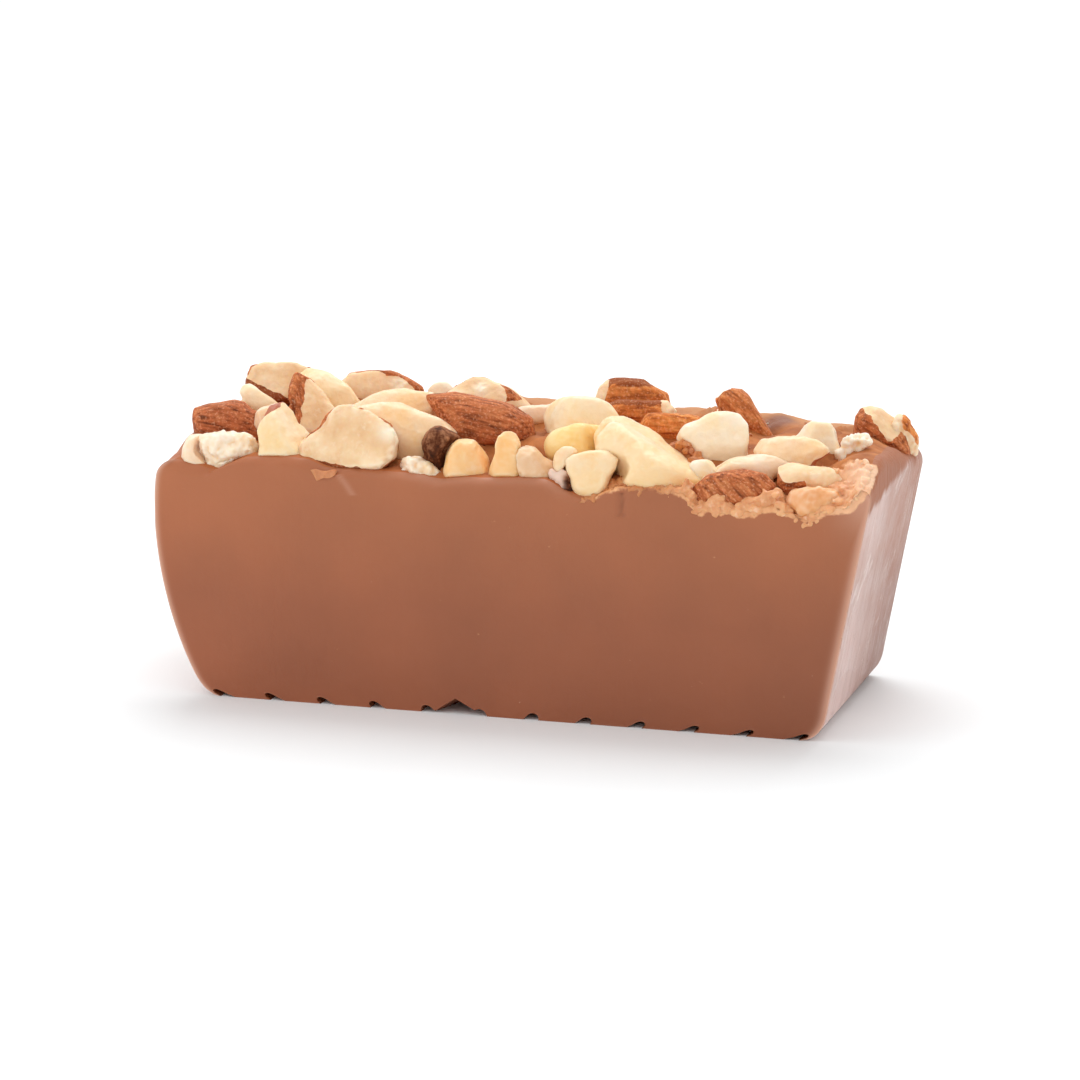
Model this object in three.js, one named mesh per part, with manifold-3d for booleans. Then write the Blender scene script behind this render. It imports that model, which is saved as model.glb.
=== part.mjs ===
// A slice of chocolate praline: a moulded milk chocolate loaf, cut across, with chopped nuts set in its top.
// Millimetres, +Z up. The origin is on the base, under the middle of the slice. The cut face looks along -Y.
import * as THREE from "three";
import { mergeVertices } from "three/addons/utils/BufferGeometryUtils.js";
import Module from "manifold-3d";

const wasm = await Module();
wasm.setup();

// The chocolate body: a trough-shaped section, wider at the top, cut to one slice
const TOP_LEFT = -59.6;
const TOP_RIGHT = 60.5;
const FLAT_WIDTH = 99.2;
const DEPTH = 44;
const EDGE_HEIGHT = 40;
const WALL_TOP = 34;

// Its left wall swells outwards below the rim, and its right wall is straight.
// Each point is across and above the base.
const LEFT_WALL = { upper: [-62.2, 28], lower: [-58.6, 13], foot: [-54, 4], corner: [-52.2, 0.4] };
const RIGHT_WALL = { foot: [54, 5.5], corner: [53.4, 0.4] };

// The base keeps the ribs of the mould as round grooves that run from the cut face to the back
const GROOVE_COUNT = 12;
const GROOVE_PITCH = 8.72;
const GROOVE_RADIUS = 1.1;
const GROOVE_SEGMENTS = 12;

// A chip broken out of the foot of the cut face
const CHIP = { at: -8, halfWidth: 5.2, height: 2.3, depth: 3.2 };

// The poured top: a low dome that falls to the cut face, with hollows where nuts tore out of the edge
const TOP_COLUMNS = 26;
const TOP_ROWS = 8;
const WALL_SEGMENTS = 6;
const DOME_HEIGHT = 3.2;
const DOME_START = 14;
const RIPPLE_HEIGHT = 0.35;
const RIPPLE_WAVES = [0.31, 0.17, 0.11, 0.23];
const EDGE_HOLLOWS = [
  { at: -52, depth: 1.8, spread: 3.5 },
  { at: -15, depth: 1.0, spread: 5 },
  { at: 11.8, depth: 2.8, spread: 3.6 },
  { at: 37, depth: 2.9, spread: 7 },
  { at: 51, depth: 2.8, spread: 5 },
];
const HOLLOW_REACH = 5;
const RIM_CREST = { at: -12, height: 2.2, length: 15, width: 7 };
const BACK_RISE = { height: 0.3, start: 18, reach: 20 };

// Nuts sit in pockets with this gap all round, and keep it to their neighbours
const NUT_GAP = 0.3;
const LUMP_SHARE = 0.035;
const LUMP_WAVES = [4, 3, 3];
const ALMOND_TAPER = 0.3;
const FINE_NUT_LENGTH = 15.2;

const milkChocolate = new THREE.MeshStandardMaterial({ color: 0xa0654a, roughness: 0.45, metalness: 0 });
const nutMaterials = {
  almond: new THREE.MeshStandardMaterial({ color: 0xa65c38, roughness: 0.6, metalness: 0 }),
  hazelnut: new THREE.MeshStandardMaterial({ color: 0x5a3220, roughness: 0.6, metalness: 0 }),
  blanched: new THREE.MeshStandardMaterial({ color: 0xf3d6a8, roughness: 0.45, metalness: 0 }),
};

// Directions that a broken or chopped face can look
const FRONT = [0, -1, 0.1];
const FRONT_UP = [0, -0.8, 0.6];
const LEFT = [-1, 0, 0.1];
const RIGHT = [1, 0, 0.1];
const UP = [0, -0.3, 0.95];
const DOWN = [0, 0, -1];

// Each nut: name, centre, full size along its own axes, turn in degrees about X, Y and Z, and the faces
// where it was chopped, each as the way the face looks and its distance from the nut's centre.
// The first word of the name is the kind: almond with its brown skin, hazelnut with a dark skin, or
// blanched and pale all round. Earlier nuts keep their shape where two meet.
const NUTS = [
  // Along the cut face, from left to right
  nut("blanched_crumbly_corner", [-47.6, -18.4, 41], [13, 7, 8], [0, 4, 8],
    [[UP, 3.1], [LEFT, 5.6], [RIGHT, 5]]),
  nut("blanched_dome_corner", [-53, -17.2, 39.2], [8.6, 8.6, 9.4], [0, 0, 0], [[UP, 4]]),
  nut("blanched_peak_left", [-39.4, -16.4, 42.2], [16, 10, 20], [0, 0, 0],
    [[[-1, -0.1, 0.1], 4.6], [[-0.77, -0.1, 0.64], 4.5], [[0.79, -0.15, 0.6], 3.5], [[-0.1, -0.95, 0.3], 3.4],
      [DOWN, 4.6]]),
  nut("almond_half_front", [-27.6, -16.4, 43.7], [18, 9, 12], [0, 18, 180],
    [[[0.05, -0.95, 0.3], 1.5], [[-0.8, -0.1, 0.6], 5.8], [[0.1, 0, -1], 4.4]]),
  nut("blanched_bit_front", [-15, -19.4, 39.7], [8.6, 4.8, 6.6], [0, 25, 0], [[UP, 2.3]]),
  nut("blanched_block_front", [-7.2, -18.4, 40.8], [9, 7, 10.4], [0, 0, 0],
    [[FRONT, 3], [[-0.8, -0.2, 0.55], 3.7], [[0.9, -0.1, 0.3], 2.9], [UP, 4.2]]),
  nut("hazelnut_dark", [-12.2, -15.6, 42.4], [7.2, 6.6, 9], [0, -10, 0], []),
  nut("blanched_peak_small", [0, -18.8, 42], [9, 6, 14], [0, 0, 0],
    [[[-0.93, 0, 0.36], 2.4], [[0.8, -0.1, 0.6], 2.9], [FRONT, 2.6], [UP, 4.3], [DOWN, 4.5]]),
  nut("blanched_clear_front", [4.6, -18.5, 40.6], [8, 6.6, 9.4], [0, 0, 0],
    [[[0.6, -0.1, 0.8], 3], [FRONT, 3]]),
  nut("blanched_bean", [14.2, -18.1, 41], [11.2, 7.6, 8.6], [0, -22, 0], [[[0.75, -0.2, -0.65], 3.6]]),
  nut("blanched_knob", [9.6, -17.4, 43.4], [4.4, 4.6, 4.6], [0, 0, 0], []),
  nut("hazelnut_crumb", [9.2, -20.2, 39.4], [5, 3.2, 5], [0, 0, 0], []),
  nut("blanched_macadamia", [20.2, -12.4, 43], [22, 15, 15], [0, 32, 0],
    [[[0.51, -0.1, 0.86], 3.6], [[-0.1, -0.8, 0.6], 5], [DOWN, 5.2]]),
  nut("almond_front_right", [37, -18.6, 39], [16, 6.2, 6.6], [0, 6, 0], [[LEFT, 6.6], [RIGHT, 6]]),
  nut("blanched_bit_right", [31.5, -14.6, 41.6], [4.8, 4.6, 4.8], [0, 0, 0], []),
  nut("blanched_chunk_corner", [51.6, -19.6, 38.8], [10, 4.4, 6], [0, 6, 0], [[UP, 2.4]]),
  nut("almond_end_corner", [49.2, -15.4, 41.2], [13, 6.4, 6.4], [0, 0, 4],
    [[LEFT, 5.2], [UP, 2], [FRONT_UP, 2.6]]),
  nut("blanched_wedge_right", [37, -12.6, 41.5], [9.6, 6.4, 6], [0, 0, 0], [[UP, 1.9]]),

  // The middle of the top
  nut("almond_stub_left", [-52.6, -7.2, 42.7], [13, 8, 8], [0, 4, 0], [[LEFT, 5.2]]),
  nut("blanched_large_middle", [-17.8, -9.8, 42.7], [15.6, 9, 13.2], [0, 22, 0],
    [[[0.15, -0.72, 0.68], 3], [RIGHT, 5.6], [DOWN, 4.5]]),
  nut("almond_whole", [-9, -3, 46.2], [20.6, 10.4, 7.2], [-30, -10, 180], []),
  nut("blanched_yellow", [8.8, -11, 43.8], [11, 8.6, 8.4], [0, -12, 0], [[FRONT_UP, 3.2]]),
  nut("blanched_slab_white", [30.6, -5.2, 44.5], [12.8, 9, 10.6], [0, 6, 0], [[[0, -0.86, 0.5], 1.8]]),
  nut("blanched_bar", [44.6, -8.6, 43.8], [15.4, 6.4, 6.2], [0, -3, -6],
    [[FRONT_UP, 1.9], [LEFT, 6.4], [UP, 2.4]]),
  nut("blanched_ridge", [7.6, -1.8, 45.3], [14, 9, 9.4], [0, 0, 0],
    [[[-0.55, -0.75, 0.36], 3.2], [[0.5, -0.74, 0.45], 3.2]]),
  nut("blanched_upright", [47.6, -1.4, 43.2], [8.8, 6, 10], [0, 0, 0],
    [[[0.2, -0.92, 0.3], 1.9], [RIGHT, 3], [UP, 4.4]]),
  nut("blanched_flake", [53.6, -2.4, 43.4], [4.6, 4, 5.4], [0, 18, 0], [[FRONT, 1.4]]),
  nut("blanched_finger", [-48, -1.6, 45.4], [10.6, 3.6, 3.4], [0, 38, 0], []),
  nut("blanched_filler_left", [-28.5, -7.4, 42.8], [9, 6.4, 6.4], [0, 0, 20], [[UP, 2.2]]),
  nut("blanched_filler_corner", [-42.6, -7.6, 44], [6.4, 5, 6], [0, 30, 0], [[UP, 2.2]]),

  // The back of the top
  nut("almond_chunk_left", [-47.6, 9.4, 45], [15.4, 10, 11.6], [0, -8, 0],
    [[[0.1, -0.9, 0.42], 2.2], [DOWN, 4.5]]),
  nut("almond_tall", [-40, 0.6, 44.4], [9, 8, 14], [0, 8, 0], [[[0.45, -0.8, 0.4], 1.8], [DOWN, 4.5]]),
  nut("blanched_yellow_back", [-38, 7.4, 46.4], [14, 8, 7.4], [0, 25, 0], [[[0.3, -0.6, 0.74], 2.6]]),
  nut("almond_half_back", [-33, 14.8, 44.6], [14.4, 8.6, 8.6], [0, 0, 0], [[[0, -0.95, 0.3], 1.8]]),
  nut("blanched_large_back", [-24.4, 1, 44.2], [15, 9.4, 11], [0, 8, 0],
    [[[0.1, -0.7, 0.7], 3.2], [DOWN, 4.2]]),
  nut("blanched_bit_back", [-22, 16, 44.8], [5, 5, 5.4], [0, 0, 0], []),
  nut("almond_chunk_middle", [-11.8, 12.4, 44], [15, 9, 9.6], [0, 14, 0], [[[-0.15, -0.85, 0.5], 2.2]]),
  nut("blanched_clear_back", [-2.2, 5.4, 44], [7, 6, 6], [0, 0, 0], [[UP, 2.4]]),
  nut("almond_slice_top", [10.4, 14.4, 46.6], [11, 7, 6.8], [0, -4, 0], [[LEFT, 4.4], [RIGHT, 4.2]]),
  nut("almond_slice_under", [15.4, 7.6, 44.8], [15, 6.4, 6.4], [0, 4, 0], [[RIGHT, 5.8]]),
  nut("almond_stick", [21.8, 1.4, 45], [13.6, 5, 4.8], [0, 2, 0], [[LEFT, 5.6]]),
  nut("almond_leaning", [32, 9.4, 46], [13.4, 6.6, 4.8], [0, 44, 0], [[[-0.75, 0, 0.66], 5]]),
  nut("almond_corner", [55.4, 13, 43], [13, 8, 8.2], [0, 10, -20],
    [[[0.6, -0.5, 0.6], 1.8], [RIGHT, 2.8]]),
  nut("almond_corner_bit", [58, 14.6, 42.8], [4.6, 5.6, 6.6], [0, 0, 0], []),
  nut("blanched_low_left", [-54.2, 16, 42.4], [8, 7, 6], [0, 0, 30], [[UP, 2]]),
  nut("blanched_low_back", [-44, 18.6, 43], [9, 5, 6], [0, 0, 10], [[UP, 2.2]]),
  nut("blanched_low_middle", [-14, 19, 42.8], [9, 5, 6], [0, 0, 10], [[UP, 2.2]]),
  nut("blanched_low_slice", [8, 19, 42.8], [8, 4.8, 6], [0, 0, 0], [[UP, 2.2]]),
  nut("almond_low_right", [29, 17, 43], [9.6, 7, 6.4], [0, 0, -25], [[UP, 2.2]]),
];

function nut(name, centre, size, turn, cuts) {
  return { name, kind: name.split("_")[0], centre, size, turn, cuts };
}

// Solids to and from three.js geometry

function toSolid(geometry) {
  const bare = geometry.clone();
  bare.deleteAttribute("normal");
  bare.deleteAttribute("uv");
  const merged = mergeVertices(bare, 1e-4);
  return new wasm.Manifold(
    new wasm.Mesh({
      numProp: 3,
      vertProperties: new Float32Array(merged.attributes.position.array),
      triVerts: new Uint32Array(merged.index.array),
    }),
  );
}

function toGeometry(solid) {
  const { vertProperties, triVerts } = solid.getMesh();
  const geometry = new THREE.BufferGeometry();
  geometry.setAttribute("position", new THREE.BufferAttribute(vertProperties, 3));
  geometry.setIndex(new THREE.BufferAttribute(triVerts, 1));
  geometry.computeVertexNormals();
  return geometry;
}

// Cutting can leave loose scraps beside the piece that is wanted
function largestPiece(solid) {
  return solid.decompose().reduce((best, piece) => (piece.volume() > best.volume() ? piece : best));
}

function moveVertices(geometry, move) {
  const position = geometry.attributes.position;
  const point = new THREE.Vector3();
  for (let i = 0; i < position.count; i++) {
    move(point.fromBufferAttribute(position, i));
    position.setXYZ(i, point.x, point.y, point.z);
  }
  return geometry;
}

// The chocolate body

function smoothStep(t) {
  const s = THREE.MathUtils.clamp(t, 0, 1);
  return s * s * (3 - 2 * s);
}

// A smooth swell that falls to nothing within a few spreads
function swell(distance, spread) {
  return Math.exp(-((distance / spread) ** 2));
}

// Height of the poured top over the base
function topHeight(x, y) {
  const fromFront = y + DEPTH / 2;
  const dome = DOME_HEIGHT * smoothStep(fromFront / DOME_START) * (1 - (x / TOP_RIGHT) ** 6);
  const behind = smoothStep((fromFront - BACK_RISE.start) / BACK_RISE.reach);
  const backRise = BACK_RISE.height * behind * (1 - (x / TOP_RIGHT) ** 8);
  const [a, b, c, d] = RIPPLE_WAVES;
  const ripple = RIPPLE_HEIGHT * Math.sin(a * x + b * y) * Math.cos(c * x - d * y);
  const hollows = EDGE_HOLLOWS.map((hollow) => hollow.depth * swell(x - hollow.at, hollow.spread));
  const hollowDepth = hollows.reduce((sum, depth) => sum + depth) * swell(fromFront, HOLLOW_REACH);
  const { at, height, length, width } = RIM_CREST;
  const crest = height * swell(y - at, length) * swell(x - TOP_RIGHT, width);
  return EDGE_HEIGHT + dome + backRise + ripple + crest - hollowDepth;
}

function sectionOutline() {
  const flat = FLAT_WIDTH / 2;
  const shape = new THREE.Shape();
  shape.moveTo(-flat, 0);
  shape.lineTo(flat, 0);
  shape.quadraticCurveTo(...RIGHT_WALL.corner, ...RIGHT_WALL.foot);
  for (let i = 0; i <= TOP_COLUMNS; i++) {
    const x = TOP_RIGHT - (i * (TOP_RIGHT - TOP_LEFT)) / TOP_COLUMNS;
    shape.lineTo(x, topHeight(x, -DEPTH / 2));
  }
  shape.bezierCurveTo(...LEFT_WALL.upper, ...LEFT_WALL.lower, ...LEFT_WALL.foot);
  shape.quadraticCurveTo(...LEFT_WALL.corner, -flat, 0);
  return shape;
}

function grooveSolids() {
  return Array.from({ length: GROOVE_COUNT }, (_, i) => {
    const groove = new THREE.CylinderGeometry(GROOVE_RADIUS, GROOVE_RADIUS, 2 * DEPTH, GROOVE_SEGMENTS);
    return toSolid(groove.translate((i - (GROOVE_COUNT - 1) / 2) * GROOVE_PITCH, 0, 0));
  });
}

function chocolateBody(pockets) {
  const slice = new THREE.ExtrudeGeometry(sectionOutline(), {
    depth: DEPTH,
    steps: TOP_ROWS,
    curveSegments: WALL_SEGMENTS,
    bevelEnabled: false,
  });
  slice.rotateX(Math.PI / 2);
  slice.translate(0, DEPTH / 2, 0);
  moveVertices(slice, (p) => {
    if (p.z > WALL_TOP) p.z = topHeight(p.x, p.y);
  });
  const chip = new THREE.OctahedronGeometry(1);
  chip.scale(CHIP.halfWidth, CHIP.depth, CHIP.height);
  chip.translate(CHIP.at, -DEPTH / 2, 0);
  const hollows = wasm.Manifold.union([toSolid(chip), ...grooveSolids(), ...pockets]);
  return largestPiece(toSolid(slice).subtract(hollows));
}

// The nuts

// A whole kernel about the origin, its long axis along X, narrower towards +X where it is an almond.
// The phase shifts its low lumps, so that no two kernels are alike.
function kernelGeometry(kind, size, phase) {
  const detail = Math.max(...size) > FINE_NUT_LENGTH ? 2 : 1;
  const taper = kind === "almond" ? ALMOND_TAPER : 0;
  const [a, b, c] = LUMP_WAVES;
  return moveVertices(new THREE.IcosahedronGeometry(1, detail), (p) => {
    const waves = Math.sin(a * p.x + phase) * Math.cos(b * p.y - phase) * Math.sin(c * p.z + 2 * phase);
    const narrow = 1 - taper * p.x;
    p.set(p.x, p.y * narrow, p.z * narrow).multiplyScalar((1 + LUMP_SHARE * waves) / 2);
    p.multiply(new THREE.Vector3(...size));
  });
}

// The nut where it lies, with its chopped faces, grown on every side by the gap where it is to make a pocket
function nutSolid({ kind, centre, size, turn, cuts }, gap = 0) {
  const grown = size.map((length) => length + 2 * gap);
  const place = new THREE.Object3D();
  place.position.set(...centre);
  place.rotation.set(...turn.map(THREE.MathUtils.degToRad), "ZYX");
  place.updateMatrix();
  const whole = toSolid(kernelGeometry(kind, grown, centre[0]).applyMatrix4(place.matrix));
  return cuts.reduce((piece, [looks, distance]) => {
    const normal = new THREE.Vector3(...looks).normalize();
    const kept = normal.clone().negate();
    const offset = normal.dot(place.position) + distance + gap;
    return piece.trimByPlane(kept.toArray(), -offset);
  }, whole);
}

const praline = new THREE.Group();
const pockets = NUTS.map((spec) => nutSolid(spec, NUT_GAP));
const body = new THREE.Mesh(toGeometry(chocolateBody(pockets)), milkChocolate);
body.name = "chocolate_body";
praline.add(body);
NUTS.forEach((spec, i) => {
  const earlier = pockets.slice(0, i);
  const whole = nutSolid(spec);
  const piece = earlier.length ? largestPiece(whole.subtract(wasm.Manifold.union(earlier))) : whole;
  const mesh = new THREE.Mesh(toGeometry(piece), nutMaterials[spec.kind].clone());
  mesh.name = spec.name;
  praline.add(mesh);
});

export default praline;
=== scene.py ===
import math
import random
from itertools import combinations

import bpy
import numpy as np
from mathutils import Euler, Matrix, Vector, noise
from mathutils.bvhtree import BVHTree


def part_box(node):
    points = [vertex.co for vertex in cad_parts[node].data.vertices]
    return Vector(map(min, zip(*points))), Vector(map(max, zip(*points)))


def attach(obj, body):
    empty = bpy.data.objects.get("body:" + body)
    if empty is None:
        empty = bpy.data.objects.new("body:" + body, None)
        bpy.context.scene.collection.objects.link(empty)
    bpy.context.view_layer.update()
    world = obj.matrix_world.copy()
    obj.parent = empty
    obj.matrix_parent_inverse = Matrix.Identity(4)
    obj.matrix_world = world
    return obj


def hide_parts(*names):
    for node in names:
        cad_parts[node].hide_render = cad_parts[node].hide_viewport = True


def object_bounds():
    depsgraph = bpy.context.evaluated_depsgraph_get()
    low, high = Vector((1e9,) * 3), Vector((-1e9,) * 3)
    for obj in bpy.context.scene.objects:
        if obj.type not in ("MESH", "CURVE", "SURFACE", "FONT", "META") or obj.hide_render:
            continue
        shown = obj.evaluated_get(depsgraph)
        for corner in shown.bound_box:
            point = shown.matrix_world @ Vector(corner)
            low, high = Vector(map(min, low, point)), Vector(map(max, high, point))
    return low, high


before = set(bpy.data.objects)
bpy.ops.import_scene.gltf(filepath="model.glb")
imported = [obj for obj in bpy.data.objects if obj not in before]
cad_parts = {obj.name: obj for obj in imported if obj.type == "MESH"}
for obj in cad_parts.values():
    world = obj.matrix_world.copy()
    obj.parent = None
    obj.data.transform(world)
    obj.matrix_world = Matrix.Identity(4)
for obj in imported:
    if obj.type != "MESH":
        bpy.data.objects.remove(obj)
cad_low, cad_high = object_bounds()


# The almonds: chopped and whole kernels with a ridged red-brown skin over cream flesh.
# The skin is dry, streaked along the kernel and dusted with crumbs, and ends raggedly at each chopped face.
# They are pressed into the soft top, and each fills the outline that it shows above the cut face.
MM = 0.001
NUT_GRAIN = 0.3
WELD_GAP = 0.001
NUT_SOFTNESS = 3
CUT_FACE = -21.3
EDGE_ROUND = 1.6
NO_ROUND = 0.01
TORN_FROM = 11.0
TORN_FADE = 3.0
SKIN_DARK = (0.13, 0.031, 0.012, 1)
SKIN_BAND_AND_SHADE = (0.24, 0.058, 0.02, 1)
SKIN_MID = (0.46, 0.127, 0.052, 1)
SKIN_LIGHT = (0.63, 0.22, 0.095, 1)
ORANGE_DARK = (0.36, 0.085, 0.022, 1)
ORANGE_MID = (0.72, 0.225, 0.055, 1)
ORANGE_LIGHT = (0.88, 0.4, 0.13, 1)
SKIN_DUST = (0.8, 0.52, 0.34, 1)
FLESH_SHADE = (0.79, 0.49, 0.26, 1)
FLESH = (0.87, 0.6, 0.35, 1)
FLESH_WHITE = (0.94, 0.73, 0.49, 1)
CRUMB_WHITE = (0.98, 0.85, 0.66, 1)
CHOPPED_SHARE = 0.045
USUAL_WARMTH = 0.3
ALMOND_WARMTH = {
    "almond_stick": 1.0, "almond_slice_top": 0.9, "almond_slice_under": 0.9, "almond_leaning": 0.5,
    "almond_front_right": 0.25, "almond_whole": 0.2, "almond_stub_left": 0.1, "almond_corner_bit": 1.0,
}
ALMOND_FORM = (0, 2, 1, 0.12)
ALMOND_CRUMBLE = {"almond_corner_bit": 0.3}
ALMOND_SEED = 100
NUT_SEED_STEP = 10
ALMOND_BARE = {
    "almond_end_corner": (1, 0.3, -1.0), "almond_slice_top": (-1, 0.2, 4.0),
    "almond_slice_under": (1, 0.1, 4.4), "almond_corner": (0.8, 0.6, -0.4),
}
ALMOND_WORN = {
    "almond_half_front": 0.12, "almond_chunk_left": 0.2, "almond_half_back": 0.05, "almond_tall": 0.3,
    "almond_chunk_middle": 0.1, "almond_corner_bit": 0.1,
}
ALMOND_SKINNED = {
    "almond_half_front": (-0.2, -0.98, 4.7), "almond_chunk_left": (-0.45, -0.89, 2.0),
    "almond_tall": (-1, 0.15, 1.6), "almond_half_back": (0.2, 1, 3.4), "almond_corner": (0.75, -0.66, 2.2),
}
WHITE_PATCHES = {
    "almond_half_front": (6.8, 0.9, 1.7), "almond_half_back": (3.4, 1.8, 1.6),
    "almond_slice_top": (4.6, 1.0, 1.4), "almond_chunk_middle": (-2.0, 1.6, 1.2),
}
DARK_STRIP = {"almond_slice_top": 1.5, "almond_slice_under": 1.0}
# Nuts whose dark strip is painted shade along their skinned underside.
SHADE_ON_SKINNED = ("almond_half_front", "almond_chunk_left")
SLANTED_GRAIN = {"almond_front_right": (0.74, -0.67)}
DRAWN_FORWARD = {
    "almond_half_front": 2.4, "hazelnut_dark": 1.0, "almond_tall": 3.0, "blanched_macadamia": 2.0,
}
ALMOND_OUTLINES = {
    "almond_stub_left": (-7, 9, 81, 48, 43, 37, 32, 32, 40, 58, 55, 57, 65, 55, 51, 56, 70, 86),
    "almond_chunk_left": (-14, 21, 80, 53, 39, 30, 28, 31, 41, 55, 59, 66, 62, 41, 42, 48, 71, 77),
    "almond_tall": (-7, -2, 40, 33, 33, 37, 45, 62, 47, 36, 29, 54, 61, 70, 77, 75, 67, 64),
    "almond_half_back": (6, 13, 65, 44, 35, 30, 27, 31, 41, 64, 85, 71, 51, 55, 50, 54, 64, 76),
    "almond_half_front": (-8, -12, 77, 69, 57, 56, 61, 62, 61, 60, 90, 97, 63, 53, 50, 54, 66, 77),
    "almond_slice_top": (9, 10, 65, 37, 34, 27, 24, 28, 36, 49, 56, 76, 56, 49, 45, 47, 54, 76),
    "almond_slice_under": (4, 15, 57, 48, 23, 17, 15, 17, 22, 45, 82, 63, 53, 50, 52, 45, 45, 59),
    "almond_stick": (-8, 10, 78, 37, 20, 16, 14, 16, 21, 38, 46, 62, 49, 32, 30, 32, 46, 54),
    "almond_leaning": (-2, 9, 26, 22, 23, 28, 35, 39, 44, 47, 39, 49, 43, 42, 48, 53, 85, 41),
    "almond_front_right": (6, 10, 70, 58, 40, 31, 27, 28, 34, 48, 66, 69, 46, 39, 35, 38, 43, 53),
    "almond_end_corner": (-8, 9, 59, 44, 29, 22, 21, 26, 38, 52, 50, 51, 44, 47, 46, 50, 58, 53),
    "almond_corner": (4, 14, 39, 31, 26, 26, 31, 38, 45, 45, 44, 49, 48, 31, 32, 42, 66, 54),
    "almond_corner_bit": (-1, 9, 21, 19, 17, 20, 25, 30, 31, 24, 18, 17, 26, 34, 42, 45, 35, 25),
    "almond_chunk_middle": (-7, 21, 48, 32, 24, 21, 24, 31, 42, 53, 81, 61, 47, 42, 42, 47, 63, 92),
    "almond_whole": (-7, 1, 84, 55, 41, 33, 33, 42, 63, 100, 72, 80, 73, 68, 51, 56, 80, 96),
}
FRONT_EDGE = (
    (-60, 39.4), (-55.9, 38.7), (-51.7, 37.9), (-49.6, 39.4), (-46.3, 40.4), (-39.2, 40.9), (-35.9, 40.6),
    (-32.7, 39.4), (-24.5, 39.6), (-18.8, 39.4), (-11.5, 38.9), (-6.6, 39.5), (1.5, 39.9), (5.5, 39.8),
    (7.6, 39.2), (8.5, 38.5), (12.2, 37.6), (14.3, 38), (16.4, 39), (18.5, 39.7), (24.8, 40.2),
    (30.4, 39.6), (31.4, 38), (32.6, 36.9), (35.1, 37.5), (40.9, 36.8), (43.3, 37.9), (47, 37.9),
    (50.5, 36.6), (55.2, 38.3), (58, 39), (60.5, 42.2),
)
NOISE_STEP = (7.13, 3.71, 5.29)


def rough(points, wave, seed):
    """Smooth random heights, -1 to 1, whose lumps are about one wave across."""
    shift = Vector([seed * step for step in NOISE_STEP])
    return np.array([noise.noise(Vector(p) / wave + shift) for p in points])


def soften(points, faces, rounds, share=0.5):
    """Moves each point towards the middle of its neighbours by its share, round after round."""
    share = np.broadcast_to(share, len(points))
    pairs = np.concatenate([faces[:, [a, (a + 1) % 4]] for a in range(4)])
    pairs = np.concatenate([pairs, pairs[:, ::-1]])
    count = np.bincount(pairs[:, 0], minlength=len(points))
    for _ in range(rounds):
        middle = [np.bincount(pairs[:, 0], points[pairs[:, 1], k], len(points)) / count for k in range(3)]
        points = points + share[:, None] * (np.stack(middle, 1) - points)
    return points


def make_piece(name, points, faces, material, **marks):
    """A piece of the praline from points in mm, with a value or vector for each point under each mark."""
    low = np.array(cad_low) / MM
    high = np.array(cad_high) / MM
    mesh = bpy.data.meshes.new(name)
    mesh.from_pydata((np.clip(points, low, high) * MM).tolist(), [], faces.tolist())
    for mark, values in marks.items():
        flat = values.ndim == 1
        layer = mesh.attributes.new(mark, "FLOAT" if flat else "FLOAT_VECTOR", "POINT")
        layer.data.foreach_set("value" if flat else "vector", values.astype(np.float32).ravel())
    mesh.shade_smooth()
    mesh.materials.append(material)
    piece = bpy.data.objects.new(name, mesh)
    bpy.context.collection.objects.link(piece)
    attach(piece, "root")
    return piece


def chopped_sides(node):
    """The sides of a nut that belong to a large flat face, where the nut was chopped."""
    planes = {}
    for side in node.data.polygons:
        key = tuple(round(c, 2) for c in side.normal) + (round(side.normal.dot(side.center) / MM, 1),)
        planes.setdefault(key, []).append(side)
    whole = sum(side.area for side in node.data.polygons)
    flat = set()
    for sides in planes.values():
        if sum(side.area for side in sides) > CHOPPED_SHARE * whole:
            flat.update(side.index for side in sides)
    return flat


def even_skin(corners, sides, grain):
    """A closed form covered again with an even net of four-cornered faces."""
    coarse = bpy.data.meshes.new("coarse")
    coarse.from_pydata(corners, [], sides)
    holder = bpy.data.objects.new("coarse", coarse)
    bpy.context.collection.objects.link(holder)
    weld = holder.modifiers.new("weld", "WELD")
    weld.merge_threshold = WELD_GAP
    remesh = holder.modifiers.new("remesh", "REMESH")
    remesh.mode = "VOXEL"
    remesh.voxel_size = grain
    fine = holder.evaluated_get(bpy.context.evaluated_depsgraph_get()).to_mesh()
    points = np.array([v.co for v in fine.vertices])
    faces = np.array([list(p.vertices) for p in fine.polygons])
    bpy.data.objects.remove(holder)
    bpy.data.meshes.remove(coarse)
    return points, faces


def fine_nut(node):
    """The nut as an even net of points with softened edges, and which of them are on its skin."""
    corners = [v.co / MM for v in node.data.vertices]
    sides = [list(p.vertices) for p in node.data.polygons]
    points, faces = even_skin(corners, sides, NUT_GRAIN)
    flat = chopped_sides(node)
    surface = BVHTree.FromPolygons(corners, sides)
    skin = np.array([0.0 if surface.find_nearest(Vector(p))[2] in flat else 1.0 for p in points])
    return soften(points, faces, NUT_SOFTNESS), faces, skin


def outward(points, faces):
    """The way each point of a closed surface looks."""
    a, b, c, d = (points[faces[:, i]] for i in range(4))
    ways = np.cross(c - a, d - b)
    total = [np.bincount(faces.ravel(), np.repeat(ways[:, k], 4), len(points)) for k in range(3)]
    normal = np.stack(total, 1)
    return normal / np.maximum(np.linalg.norm(normal, axis=1), 1e-9)[:, None]


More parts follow.
